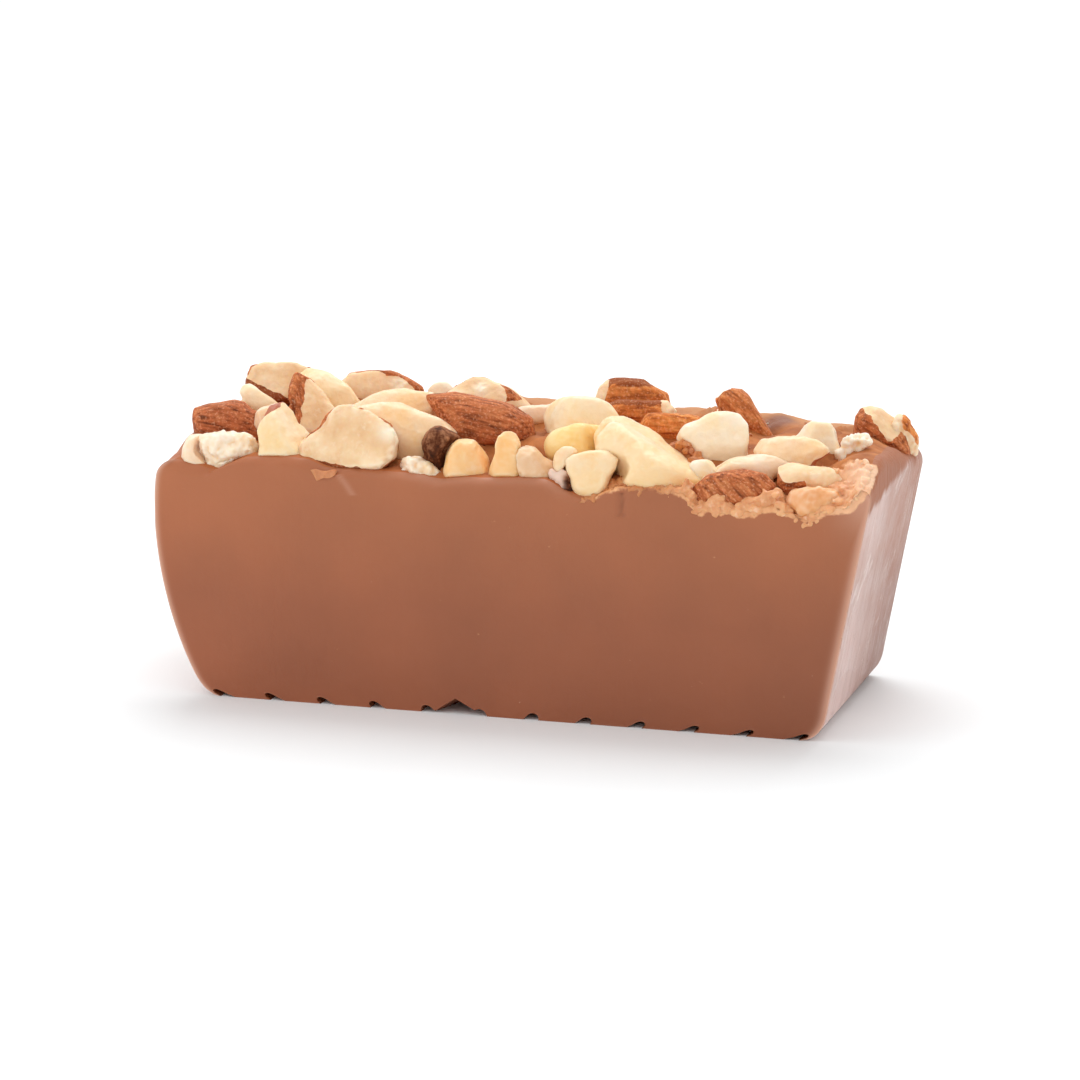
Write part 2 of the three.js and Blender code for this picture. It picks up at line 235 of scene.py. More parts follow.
LOOK_YAW = math.radians(16.1)
LOOK_DIP = math.radians(13.4)
LOOK_RIGHT = np.array([math.cos(LOOK_YAW), math.sin(LOOK_YAW), 0])
LOOK_BACK = np.array([
    math.sin(LOOK_YAW) * math.cos(LOOK_DIP), -math.cos(LOOK_YAW) * math.cos(LOOK_DIP), math.sin(LOOK_DIP)
])
LOOK_UP = np.cross(LOOK_BACK, LOOK_RIGHT)
SPOKES = 64
TENTHS = 10
RIM_PULL = 1.5
CHOP_DEPTH = (0.15, 0.3)
FIBRE_SQUEEZE = 0.9
FOOT_HEIGHT = 2.4
SET_BACK_MOST = 2.4
SET_BACK_PERCENT = 92


def chop(points, skin, seed, count):
    """Slices flat faces off the open side of a nut, as a knife does, and bares the flesh there."""
    draw = random.Random(seed)
    middle = (points.min(0) + points.max(0)) / 2
    for _ in range(count):
        way = np.array([draw.gauss(0, 1) for _ in range(3)]) + LOOK_BACK
        way = way / np.linalg.norm(way)
        over = (points - middle) @ way
        over = over - (1 - draw.uniform(*CHOP_DEPTH)) * over.max()
        points = points - np.outer(np.clip(over, 0, None), way)
        skin = np.where(over > 0, 0, skin)
    return points, skin


def in_view(points, middle):
    """How far right and up of a middle each point lies, seen over the cut face."""
    return np.stack([(points - middle) @ LOOK_RIGHT, (points - middle) @ LOOK_UP], 1)


def fill_outline(points, middle, outline):
    """Stretches a nut across the view over the cut face until it fills its outline.

    An outline is how far right and up of the nut's middle it is centred, and then how far it reaches along
    sixteen spokes, all in tenths of a millimetre.
    """
    right, up = np.array(outline[:2]) / TENTHS
    reach = np.array(outline[2:]) / TENTHS
    flat = in_view(points, middle)
    spokes = flat - (flat.min(0) + flat.max(0)) / 2
    turn = np.arctan2(spokes[:, 1], spokes[:, 0]) % (2 * np.pi)
    own = np.zeros(SPOKES)
    np.maximum.at(own, np.round(turn / (2 * np.pi) * SPOKES).astype(int) % SPOKES, np.hypot(*spokes.T))
    own = (np.roll(own, 1) + 2 * own + np.roll(own, -1)) / 4
    own_reach = np.interp(turn, np.linspace(0, 2 * np.pi, SPOKES + 1), np.append(own, own[0]))
    step = 2 * np.pi / len(reach)
    first = (turn // step).astype(int) % len(reach)
    part = turn - first * step
    following = reach[first - len(reach) + 1]
    new_reach = np.sin(step) / (np.sin(step - part) / reach[first] + np.sin(part) / following)
    even = reach.mean() / own.mean()
    rim = np.clip(np.hypot(*spokes.T) / own_reach, 0, 1) ** RIM_PULL
    grow = even + rim * (new_reach / own_reach - even)
    moved = np.array([right, up]) + spokes * grow[:, None] - flat
    return points + moved[:, :1] * LOOK_RIGHT + moved[:, 1:] * LOOK_UP


def along_grain(points, slant):
    """Points squeezed along the nut's length or its slant, so that patterns on them run as long fibres."""
    middle = points.mean(0)
    _, axes = np.linalg.eigh(np.cov((points - middle).T))
    way = slant[0] * LOOK_RIGHT + slant[1] * LOOK_UP if slant else axes[:, 2]
    return points - np.outer((points - middle) @ way, way) * FIBRE_SQUEEZE


def past_cut_face(points):
    """How high each point is above the front edge, and how far it stands out past the cut face there."""
    above = points[:, 2] - np.interp(points[:, 0], *zip(*FRONT_EDGE))
    rounded = EDGE_ROUND * np.clip((TORN_FROM + TORN_FADE - points[:, 0]) / TORN_FADE, 0, 1)
    bend = np.clip(1 + above / np.maximum(rounded, NO_ROUND), 0, 1)
    inset = rounded * (1 - np.sqrt(1 - bend**2)) * np.clip(1 - above / FOOT_HEIGHT, 0, 1) ** 2
    return above, np.clip(CUT_FACE + inset - points[:, 1], 0, None)


def behind_cut_face(points, set_back):
    """Sets a nut back as far as its foot needs, and keeps its buried part behind the cut face."""
    above, out = past_cut_face(points)
    at_edge = np.abs(above) < EDGE_ROUND / 2
    if set_back and at_edge.any():
        points = points - LOOK_BACK * min(SET_BACK_MOST, np.percentile(out[at_edge], SET_BACK_PERCENT))
        above, out = past_cut_face(points)
    points = points.copy()
    points[:, 1] += np.clip((EDGE_ROUND - above) / EDGE_ROUND, 0, 1) * out
    return points


EDGE_WAVER = 0.5
WAVER_WAVE = 1.5
WORN_WAVE = 3.5
NEVER_WORN = -2
RIDGE_WAVE = 1.5
LUMP_HEIGHT = 0.16
LUMP_WAVE = 3.6
GRIT_WAVE = 1.4
FINE_GRIT_SHARE = 0.6
FINE_GRIT_WAVE = 0.7
CHOPPED_GRIT = 0.1
WHITE_GRIT = 0.3
CLOD_SHARE = 1.6
CLOD_WAVE = 2.4
FILLED_OUT = 0.04
FILLED_OUT_WORN = 0.012
NICK_DEPTH = 1.0
NICK_WAVE = 1.3
NICK_COVER = 0.15
NICKED_EDGE = 0.2
CREST_HEIGHT = 0.12
LEVEL_ROUNDS = 8
nut_names = sorted(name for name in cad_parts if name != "chocolate_body")
nut_points = []
nut_faces = []


def beyond(view, side, waver):
    """Which points lie further than a distance along a way in the view, with a wavering edge."""
    return view @ np.array(side[:2]) + waver > side[2]


def standing_out(points, faces):
    """How far each point stands out of the same form worn level."""
    off = points - soften(points, faces, LEVEL_ROUNDS)
    return (off * outward(points, faces)).sum(1)


def make_nut(name, seed, material, slot, outline, form, bare=None, skinned=None, patch=None, **looks):
    """A fine nut in the place of its plain shape: wrinkled along its skin, rough where it was chopped.

    The form is how often it was chopped, how far its edges are worn round, how full its sides are, where less
    is fuller, its wrinkles and its crumbs. Bare and skinned are sides where the skin is gone or kept, each a
    way in the view and a distance along it, and a patch is crumbled white.
    """
    chops, worn, full, wrinkle, crumble = form
    points, faces, skin = fine_nut(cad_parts[name])
    points, skin = chop(points, skin, seed, chops)
    points = soften(points, faces, worn)
    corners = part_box(name)
    middle = np.array(corners[0] + corners[1]) / 2 / MM
    if outline:
        points = fill_outline(points, middle, outline)
        points = soften(points, faces, worn)
    nearer = (points - middle) @ LOOK_BACK
    front = np.clip(nearer / nearer.max(), 0, 1)
    swell_out = nearer.max() * (front**full - front) + front * DRAWN_FORWARD.get(name, 0)
    points = points + np.outer(swell_out, LOOK_BACK)
    view = in_view(points, middle)
    view = view - (view.min(0) + view.max(0)) / 2
    waver = EDGE_WAVER * rough(points, WAVER_WAVE, seed + 3)
    skin = np.where(rough(points, WORN_WAVE, seed + 5) < ALMOND_WORN.get(name, NEVER_WORN), 0, skin)
    if bare:
        skin = np.where(beyond(view, bare, waver), 0, skin)
    if skinned:
        skin = np.where(beyond(view, skinned, waver), 1, skin)
    fibre = along_grain(points, SLANTED_GRAIN.get(name))
    skin = soften(np.repeat(skin[:, None], 3, 1), faces, 2)[:, 0]
    white = np.zeros(len(points))
    if patch:
        white = np.exp(-(np.hypot(*(view - patch[:2]).T) / patch[2]) ** 2) * (1 - skin)
    ridges = 1 - 2 * np.abs(rough(fibre, RIDGE_WAVE, seed))
    lumps = rough(points, LUMP_WAVE, seed + 1)
    grit = rough(points, GRIT_WAVE, seed + 2) + FINE_GRIT_SHARE * rough(points, FINE_GRIT_WAVE, seed + 4)
    clods = CLOD_SHARE * crumble * rough(points, CLOD_WAVE, seed + 6)
    push = FILLED_OUT + FILLED_OUT_WORN * worn + LUMP_HEIGHT * lumps + skin * wrinkle * ridges
    push = push + ((1 - skin) * CHOPPED_GRIT + crumble + WHITE_GRIT * white) * grit + clods
    edges = np.clip(standing_out(points, faces) / NICKED_EDGE, 0, 1)
    nicks = np.clip(rough(points, NICK_WAVE, seed + 7) + NICK_COVER, 0, 1)
    push = push - NICK_DEPTH * edges * (1 - skin) * nicks
    points = behind_cut_face(points + outward(points, faces) * push[:, None], name not in DRAWN_FORWARD)
    # Crests drive paler flesh, as nut meal and painted highlight, and painted shade in creases.
    crest = np.clip(standing_out(points, faces) / CREST_HEIGHT, -1, 1)
    # Height drives painted shade low on the blanched nuts and painted light towards the hazelnut tops.
    height = view[:, 1] - view[:, 1].max()
    strip = 1.0 * (height + waver > -DARK_STRIP.get(name, 0))
    # On these nuts the dark strip is painted shade along their skinned underside.
    if name in SHADE_ON_SKINNED:
        strip = 1.0 * beyond(view, skinned, waver)
    marks = {mark: np.tile(value, (len(points), 1)).squeeze() for mark, value in looks.items()}
    piece = make_piece(
        "nut_" + name, points, faces, material, skin=skin, fibre=fibre, white=white, crest=crest,
        height=1 + height / np.ptp(view[:, 1]), strip=strip, **marks
    )
    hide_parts(name)
    nut_faces.extend((faces + sum(len(p) for p in nut_points)).tolist())
    nut_points.append(points)


def add_node(tree, kind, inputs, **settings):
    """A shader node with its settings, and its inputs linked or set."""
    made = tree.nodes.new("ShaderNode" + kind)
    for name, value in settings.items():
        setattr(made, name, value)
    for name, value in inputs.items():
        if isinstance(value, bpy.types.NodeSocket):
            tree.links.new(value, made.inputs[name])
        else:
            made.inputs[name].default_value = value
    return made


def ramp(tree, value, *stops):
    """Colours at positions along a value."""
    made = add_node(tree, "ValToRGB", {"Fac": value})
    band = made.color_ramp
    while len(band.elements) < len(stops):
        band.elements.new(0.5)
    for element, (place, colour) in zip(band.elements, stops):
        element.position = place
        element.color = colour
    return made.outputs["Color"]


def mix(tree, share, first, second, blend="MIX"):
    """One colour laid over another."""
    made = add_node(tree, "MixRGB", {"Fac": share, "Color1": first, "Color2": second}, blend_type=blend)
    return made.outputs["Color"]


def math_node(tree, operation, *values):
    """A sum on shader values."""
    made = add_node(tree, "Math", dict(enumerate(values)), operation=operation)
    return made.outputs["Value"]


def speckle(tree, place, scale, detail=2.0, roughness=0.5):
    """Cloudy noise, its lumps about 1 / scale metres across."""
    settings = {"Vector": place, "Scale": scale, "Detail": detail, "Roughness": roughness}
    return add_node(tree, "TexNoise", settings).outputs["Fac"]


def mark_value(tree, name, output="Fac"):
    """What a piece's points carry under a mark."""
    return add_node(tree, "Attribute", {}, attribute_name=name).outputs[output]


def new_material(name):
    """An empty material with its shader, and where on the object each point is."""
    material = bpy.data.materials.new(name)
    material.use_nodes = True
    tree = material.node_tree
    place = add_node(tree, "TexCoord", {}).outputs["Object"]
    return material, tree, tree.nodes["Principled BSDF"], place


def grey(level):
    """A grey colour, or a plain value where a ramp stands for one."""
    return (level, level, level, 1)


def fade(tree, value, start, end):
    """Nothing up to the start of a value, and all of it from the end."""
    return ramp(tree, value, (start, grey(0)), (end, grey(1)))


def lay(tree, colour, over, mask, strength):
    """A colour laid over another where a mask shows, at a strength."""
    return mix(tree, math_node(tree, "MULTIPLY", mask, strength), colour, over)


def let_light_in(shader, weight, radius, depth):
    """Light goes a little way in, red the furthest."""
    shader.inputs["Subsurface Weight"].default_value = weight
    shader.inputs["Subsurface Radius"].default_value = radius
    shader.inputs["Subsurface Scale"].default_value = depth * MM


def bumps(tree, shader, height, strength, depth):
    """A fine relief on a surface."""
    made = add_node(tree, "Bump", {"Strength": strength, "Distance": depth * MM, "Height": height})
    tree.links.new(made.outputs["Normal"], shader.inputs["Normal"])


def almond_material():
    """Streaked, dusty skin over cream flesh with a ragged edge between them, a dark strip of skin that is
    painted shade on two nuts, and crests paler as nut meal and painted highlight.
    """
    material, tree, shader, place = new_material("almond")
    streak = speckle(tree, mark_value(tree, "fibre", "Vector"), 1.6, 3, 0.6)
    brown = ramp(tree, streak, (0.3, SKIN_DARK), (0.5, SKIN_MID), (0.72, SKIN_LIGHT))
    orange = ramp(tree, streak, (0.3, ORANGE_DARK), (0.5, ORANGE_MID), (0.72, ORANGE_LIGHT))
    brown = mix(tree, mark_value(tree, "warm"), brown, orange)
    grain = ramp(tree, speckle(tree, place, 1300, 3, 0.7), (0.3, grey(0.72)), (0.7, grey(1.15)))
    brown = mix(tree, 1.0, brown, grain, "MULTIPLY")
    # The dark strip is real skin colour on the slices' tops, and painted shade under two nuts.
    brown = lay(tree, brown, SKIN_BAND_AND_SHADE, mark_value(tree, "strip"), 0.8)
    dust = fade(tree, speckle(tree, place, 2600, 2), 0.55, 0.7)
    brown = lay(tree, brown, SKIN_DUST, dust, 0.3)
    flesh = ramp(tree, speckle(tree, place, 230, 3), (0.3, FLESH_SHADE), (0.52, FLESH), (0.75, FLESH_WHITE))
    meal = fade(tree, speckle(tree, place, 900, 3, 0.6), 0.56, 0.68)
    # Crests of the flesh are paler, partly as nut meal and partly as a painted highlight.
    broken_meal_and_highlight = math_node(tree, "MULTIPLY", mark_value(tree, "crest"), speckle(tree, place, 420, 2))
    pale = math_node(tree, "MAXIMUM", broken_meal_and_highlight, mark_value(tree, "white"))
    meal = math_node(tree, "MULTIPLY", meal, 0.25)
    flesh = mix(tree, math_node(tree, "MAXIMUM", meal, pale), flesh, CRUMB_WHITE)
    ragged = math_node(tree, "MULTIPLY_ADD", speckle(tree, place, 700, 2), 0.5, -0.25)
    edge = math_node(tree, "ADD", mark_value(tree, "skin"), ragged)
    cover = fade(tree, edge, 0.42, 0.55)
    tree.links.new(mix(tree, cover, flesh, brown), shader.inputs["Base Color"])
    fine = speckle(tree, place, 1300, 3, 0.6)
    bumps(tree, shader, math_node(tree, "MULTIPLY_ADD", streak, 0.6, fine), 0.35, 0.3)
    dull = math_node(tree, "MULTIPLY_ADD", streak, 0.25, 0.46)
    tree.links.new(dull, shader.inputs["Roughness"])
    shader.inputs["Specular IOR Level"].default_value = 0.2
    shader.inputs["IOR"].default_value = 1.3
    let_light_in(shader, 0.3, (1.0, 0.5, 0.25), 1.2)
    return material


almond = almond_material()
for count, name in enumerate(n for n in nut_names if n.startswith("almond")):
    make_nut(
        name, ALMOND_SEED + NUT_SEED_STEP * count, almond, "almond_skin", ALMOND_OUTLINES.get(name),
        ALMOND_FORM + (ALMOND_CRUMBLE.get(name, 0),), ALMOND_BARE.get(name), ALMOND_SKINNED.get(name),
        WHITE_PATCHES.get(name), warm=ALMOND_WARMTH.get(name, USUAL_WARMTH),
    )


# The hazelnuts: two pieces with a dark, papery skin, painted nearly black low down as shade and lighter
# towards the top as painted light.
# The smaller is a crumb that lost half its skin and shows a whitish inside. Both are pressed in at the front.
HAZEL_DARK = (0.035, 0.011, 0.005, 1)
HAZEL_MID = (0.11, 0.029, 0.01, 1)
HAZEL_LIGHT = (0.42, 0.18, 0.085, 1)
HAZEL_INSIDE = (0.84, 0.62, 0.5, 1)
HAZELNUT_FORM = (0, 2, 1, 0.1)
HAZELNUT_CRUMBLE = {"hazelnut_crumb": 0.65, "hazelnut_dark": 0.12}
HAZELNUT_SEED = 400
HAZELNUT_BARE = {"hazelnut_crumb": (-1, 0.3, 0.6)}
HAZELNUT_OUTLINES = {
    "hazelnut_dark": (-6, 8, 49, 38, 35, 33, 35, 35, 33, 31, 28, 26, 41, 49, 55, 54, 51, 46),
    "hazelnut_crumb": (3, 0, 25, 21, 20, 19, 24, 28, 28, 26, 24, 26, 32, 32, 32, 39, 42, 31),
}


def hazelnut_material():
    """Flaky dark skin, with painted light that makes it lighter towards the top and darker below, round a
    pale inside.
    """
    material, tree, shader, place = new_material("hazelnut")
    flakes = speckle(tree, place, 520, 4, 0.65)
    # Painted light and shade: the skin darkens low down and lightens towards the top.
    painted_light_above = math_node(tree, "MULTIPLY_ADD", mark_value(tree, "height"), 0.3, -0.12)
    colour = ramp(
        tree, math_node(tree, "ADD", flakes, painted_light_above), (0.4, HAZEL_DARK), (0.55, HAZEL_MID), (0.75, HAZEL_LIGHT)
    )
    colour = mix(tree, mark_value(tree, "skin"), HAZEL_INSIDE, colour)
    tree.links.new(colour, shader.inputs["Base Color"])
    bumps(tree, shader, flakes, 0.5, 0.3)
    shader.inputs["Roughness"].default_value = 0.7
    shader.inputs["Specular IOR Level"].default_value = 0.1
    let_light_in(shader, 0.1, (1.0, 0.5, 0.25), 0.6)
    return material


hazelnut = hazelnut_material()
for count, name in enumerate(n for n in nut_names if n.startswith("hazelnut")):
    make_nut(
        name, HAZELNUT_SEED + NUT_SEED_STEP * count, hazelnut, "hazelnut_skin", HAZELNUT_OUTLINES[name],
        HAZELNUT_FORM + (HAZELNUT_CRUMBLE[name],), HAZELNUT_BARE.get(name),
    )


# The blanched nuts: peeled macadamias, hazelnuts and almond bits, broken into waxy, half clear lumps.
# They run from nearly white through cream to pale yellow, and light goes a little way into them.
# They lie among the almonds, pressed into the soft top, and two keep a strip of brown rind.
FROST = (1.0, 0.82, 0.7)
SNOW = (0.99, 0.75, 0.59)
WHITE = (0.98, 0.82, 0.66)
MILK = (0.96, 0.75, 0.51)
ROSE = (0.95, 0.7, 0.52)
CREAM = (0.93, 0.67, 0.43)
BUTTER = (0.95, 0.71, 0.45)
YELLOW = (0.97, 0.7, 0.31)
AMBER = (0.92, 0.59, 0.29)
CLEAR = (0.79, 0.53, 0.33)
PEACH = (0.84, 0.43, 0.19)
# A deeper golden tone, laid in clouds as real tone, and low down and in creases as painted shade.
GOLDEN_TONE_AND_SHADE = (0.99, 0.86, 0.58, 1)
BLANCHED_TINTS = {
    "blanched_crumbly_corner": FROST, "blanched_bit_front": SNOW, "blanched_bean": BUTTER,
    "blanched_slab_white": WHITE, "blanched_flake": FROST, "blanched_ridge": MILK,
    "blanched_macadamia": BUTTER, "blanched_yellow": YELLOW, "blanched_yellow_back": BUTTER,
    "blanched_block_front": AMBER, "blanched_peak_small": AMBER, "blanched_finger": MILK,
    "blanched_peak_left": MILK,
    "blanched_clear_front": CLEAR, "blanched_clear_back": ROSE, "blanched_upright": WHITE,
    "blanched_wedge_right": ROSE, "blanched_chunk_corner": PEACH, "blanched_bit_right": WHITE,
    "blanched_bit_back": WHITE, "blanched_filler_corner": SNOW, "blanched_dome_corner": SNOW,
}
BLANCHED_CRUMBLE = {
    "blanched_crumbly_corner": 0.42, "blanched_flake": 0.8, "blanched_bit_front": 0.4,
    "blanched_chunk_corner": 0.15,
}
BLANCHED_SEED = 500
BROKEN = (4, 3, 0.65, 0.04)
ROUNDED = (2, 6, 0.65, 0.04)
SMOOTH = (0, 24, 0.65, 0.04)
BLANCHED_FORMS = {
    "blanched_macadamia": (0, 24, 0.4, 0.04), "blanched_ridge": SMOOTH, "blanched_yellow": SMOOTH,
    "blanched_slab_white": ROUNDED, "blanched_bean": ROUNDED, "blanched_block_front": ROUNDED,
    "blanched_large_middle": ROUNDED, "blanched_knob": ROUNDED, "blanched_dome_corner": ROUNDED,
}
ALL_OVER = (0, 0, -9)
BLANCHED_RIND = {"blanched_bar": (0.5, -0.87, 2.3), "blanched_peak_left": (-0.6, 0.8, 4.3)}
BLANCHED_OUTLINES = {
    "blanched_crumbly_corner": (-8, 8, 52, 48, 30, 25, 26, 31, 42, 48, 48, 45, 49, 45, 38, 40, 46, 53),
    "blanched_dome_corner": (-10, 11, 24, 22, 25, 32, 31, 32, 28, 26, 26, 29, 38, 40, 41, 43, 44, 32),
    "blanched_peak_left": (-14, 3, 49, 38, 35, 45, 57, 53, 43, 43, 41, 46, 60, 58, 56, 64, 64, 50),
    "blanched_filler_corner": (-30, 17, 39, 31, 24, 13, 9, 8, 9, 12, 17, 18, 29, 30, 39, 37, 36, 36),
    "blanched_finger": (-14, 11, 28, 19, 15, 15, 19, 28, 32, 31, 23, 44, 43, 45, 35, 49, 53, 57),
    "blanched_yellow_back": (-15, 5, 38, 28, 23, 23, 28, 36, 53, 60, 60, 47, 43, 47, 56, 66, 76, 58),
    "blanched_large_back": (-6, 12, 77, 64, 38, 33, 31, 33, 39, 51, 85, 71, 61, 55, 53, 57, 68, 81),
    "blanched_large_middle": (-10, 7, 78, 53, 39, 36, 40, 52, 70, 103, 78, 63, 64, 64, 74, 83, 77, 80),
    "blanched_bit_front": (-3, 6, 34, 24, 19, 17, 21, 25, 31, 33, 30, 30, 35, 32, 30, 32, 38, 39),
    "blanched_block_front": (-1, 11, 39, 35, 34, 37, 36, 38, 38, 35, 34, 40, 51, 50, 46, 48, 49, 41),
    "blanched_peak_small": (-8, 10, 23, 23, 29, 38, 41, 37, 27, 22, 22, 29, 46, 53, 46, 46, 45, 31),
    "blanched_clear_front": (-11, 16, 38, 23, 18, 21, 29, 34, 40, 35, 31, 31, 37, 38, 38, 42, 47, 43),
    "blanched_knob": (-4, 0, 17, 21, 19, 17, 17, 16, 15, 16, 18, 20, 28, 31, 33, 30, 24, 15),
    "blanched_bean": (-6, 7, 39, 46, 41, 35, 31, 31, 38, 46, 41, 36, 45, 52, 52, 50, 44, 34),
    "blanched_yellow": (8, 5, 71, 68, 38, 31, 28, 26, 31, 41, 49, 51, 47, 37, 46, 52, 60, 72),
    "blanched_ridge": (-7, 16, 63, 52, 39, 32, 29, 33, 41, 51, 59, 58, 65, 56, 52, 56, 64, 77),
    "blanched_clear_back": (0, 13, 46, 49, 20, 16, 13, 15, 19, 31, 49, 42, 40, 38, 31, 33, 33, 46),
    "blanched_macadamia": (1, -10, 68, 46, 44, 43, 50, 71, 83, 81, 71, 64, 65, 59, 56, 66, 95, 127),
    "blanched_slab_white": (2, 9, 53, 56, 53, 45, 41, 39, 40, 54, 65, 58, 56, 70, 52, 67, 74, 55),
    "blanched_bit_right": (-3, 3, 23, 21, 21, 19, 17, 18, 21, 22, 21, 23, 30, 44, 43, 43, 45, 45),
    "blanched_wedge_right": (13, 10, 81, 46, 31, 24, 20, 19, 24, 34, 54, 83, 48, 41, 41, 42, 49, 43),
    "blanched_chunk_corner": (-5, 5, 46, 45, 33, 25, 22, 24, 31, 45, 47, 37, 42, 44, 39, 38, 43, 41),
    "blanched_bar": (-7, 10, 66, 49, 33, 26, 23, 25, 33, 50, 60, 50, 46, 46, 50, 51, 56, 45),
    "blanched_upright": (8, 14, 26, 26, 32, 36, 34, 40, 41, 41, 56, 51, 41, 42, 63, 70, 57, 36),
    "blanched_flake": (-1, 12, 23, 25, 29, 24, 20, 21, 22, 25, 23, 30, 34, 36, 35, 33, 24, 20),
    "blanched_bit_back": (-4, 13, 21, 18, 16, 14, 12, 12, 14, 17, 22, 22, 27, 26, 38, 39, 40, 44),
}


def blanched_material():
    """Waxy flesh in the nut's own tint, clouded with a golden tone that is painted shade low down and in
    creases, and crests paler as nut meal and painted highlight.
    """
    material, tree, shader, place = new_material("blanched_nut")
    own = mark_value(tree, "tint", "Color")
    clouds = fade(tree, speckle(tree, place, 180, 4, 0.6), 0.38, 0.68)
    golden_and_shaded = mix(tree, 1.0, own, GOLDEN_TONE_AND_SHADE, "MULTIPLY")
    # Painted shade: the deeper golden tone low on each nut.
    low = math_node(tree, "SUBTRACT", 0.8, mark_value(tree, "height"))
    share = math_node(tree, "MAXIMUM", math_node(tree, "MULTIPLY", clouds, 0.8), low)
    # Painted shade: the deeper golden tone in creases.
    painted_crease_shade = math_node(tree, "MULTIPLY", mark_value(tree, "crest"), -1.0)
    colour = mix(tree, math_node(tree, "MAXIMUM", share, painted_crease_shade), own, golden_and_shaded)
    pale = fade(tree, speckle(tree, place, 520, 3), 0.58, 0.8)
    # Crests are paler, partly as nut meal and partly as a painted highlight.
    pale = math_node(tree, "MAXIMUM", pale, mark_value(tree, "crest"))
    colour = lay(tree, colour, mix(tree, 0.6, own, WHITE + (1,)), pale, 0.5)
    flecks = fade(tree, speckle(tree, place, 330, 1), 0.8, 0.83)
    colour = lay(tree, colour, ORANGE_MID, flecks, 0.5)
    rind = fade(tree, mark_value(tree, "skin"), 0.45, 0.55)
    colour = lay(tree, colour, SKIN_MID, rind, mark_value(tree, "rind"))
    tree.links.new(colour, shader.inputs["Base Color"])
    fine = speckle(tree, place, 800, 4, 0.65)
    dents = math_node(tree, "MULTIPLY_ADD", speckle(tree, place, 260, 3), 1.5, fine)
    bumps(tree, shader, dents, 0.5, 0.35)
    shader.inputs["Roughness"].default_value = 0.36
    let_light_in(shader, 0.65, (1.15, 1.0, 0.85), 1.0)
    return material


blanched = blanched_material()
for count, name in enumerate(n for n in nut_names if n.startswith("blanched")):
    rind = BLANCHED_RIND.get(name)
    make_nut(
        name, BLANCHED_SEED + NUT_SEED_STEP * count, blanched, "blanched_nut", BLANCHED_OUTLINES.get(name),
        BLANCHED_FORMS.get(name, BROKEN) + (BLANCHED_CRUMBLE.get(name, 0),), ALL_OVER if rind else None, rind,
        tint=BLANCHED_TINTS.get(name, CREAM), rind=1.0 if rind else 0.0,
    )


# The chocolate slice: milk chocolate cast in a ribbed tray that is wider at the top, then cut across.
# The walls and the base keep the gloss of the tray, and the two cut faces are satin with faint knife streaks.
# The top was poured round the nuts, climbs a little up each, and is torn pale along the front at the right.
SLICE_DEPTH = 44.0
BASE_WIDTH = 99.2
TOP_LEFT = -59.6
TOP_RIGHT = 60.5
EDGE_HEIGHT = 40.0
LEFT_WALL = ((TOP_LEFT, EDGE_HEIGHT), (-62.2, 28), (-58.6, 13), (-54, 4))
LEFT_FOOT = ((-54, 4), (-52.2, 0.4), (-BASE_WIDTH / 2, 0))
RIGHT_FOOT = ((54, 5.5), (53.4, 0.4), (BASE_WIDTH / 2, 0))
RIB_COUNT = 12
RIB_PITCH = 8.72
RIB_RADIUS = 1.15
RIB_HALF = 1.3
RIB_STEPS = 11
FLAT_STEPS = 14
TOP_ROWS = 84
RUNGS = 80
RUNG_CROWDING = 0.07
CHIP_AT = -8.0
CHIP_SIZE = (4.4, 14.0, 2.7)
DOME_HEIGHT = 3.2
DOME_START = 7.0
DOME_REACH = 15.0
DOME_SQUARE = 6
BACK_RISE = 1.1
BACK_START = 18.0
BACK_REACH = 20.0
BACK_SQUARE = 8
RIPPLE_HEIGHT = 0.3
RIPPLE_TURNS = ((0.31, 0.17), (0.11, -0.23))
LIP_AT = -12.0
LIP_HEIGHT = 4.8
LIP_LENGTH = (15.0, 22.0)
LIP_WIDTH = 7.0
EDGE_REACH = 5.0
LEVEL_REACH = 3.0
RAISED_EDGE = 0.5
RAISED_FADE = 6.0
COATED_LUMPS = (
    (2, -8, 2.6, 3.6), (-4, -14, 1.4, 2.6), (-57, 4, 2.4, 4), (-57.5, -9, 2.4, 4), (55, -12, 1.6, 4.0),
    (50.5, -1, 1.6, 2.6), (55.5, 4, 2.2, 4.5), (37.3, 12.5, -3.2, 2.6), (35.8, 17.5, -1.4, 2.2),
    (34.5, 3.5, 1.2, 2.4), (-37, -5, -2.2, 5), (26.2, -7.5, 2.2, 2.6), (19.8, -17.5, 0.8, 2.0),
    (41.5, -13.5, -1.8, 1.8), (56, -15.5, -1.6, 1.4), (52.5, -5.5, -2.0, 1.8),
)
HOLLOWS = ((35.8, 17.5, 3.0), (52, -1.6, 1.6))
HOLLOW_DARK = (0.25, 0.09, 0.048, 1)
TOP_LUMPS = ((0.25, 4.0, 1), (0.12, 1.3, 2))
LEFT_ROUND = 3.0
RIGHT_ROUND = (1.5, 3.4)
RIGHT_ROUND_ALONG = (-16, 4)
CARRIED_BACK = 6.0
EDGE_SOFT = 0.5
BASE_SOFT = 0.2
EDGE_ROUNDS = 7
RIM_ROWS = 4
FACE_LUMPS = ((0.2, 14.0, 3), (0.05, 3.0, 4))
BACK_LUMPS = ((0.3, 12.0, 5),)
CUT_INSET = 0.25
SCRATCH = (19.6, 39.0, 35.0)
SCRATCH_DEPTH = 0.7
SCRATCH_WIDTH = 0.4
SMEAR = ((-28.4, 39.0), (-27.3, 37.7), (-26.0, 35.8))
SMEAR_STRENGTH = 0.35
SMEAR_WIDTH = 0.6
MENISCUS_HEIGHT = 0.8
MENISCUS_REACH = 0.8
MENISCUS_FROM_EDGE = 6.0
UP_SCALE = 25
BACK_SCALE = 40
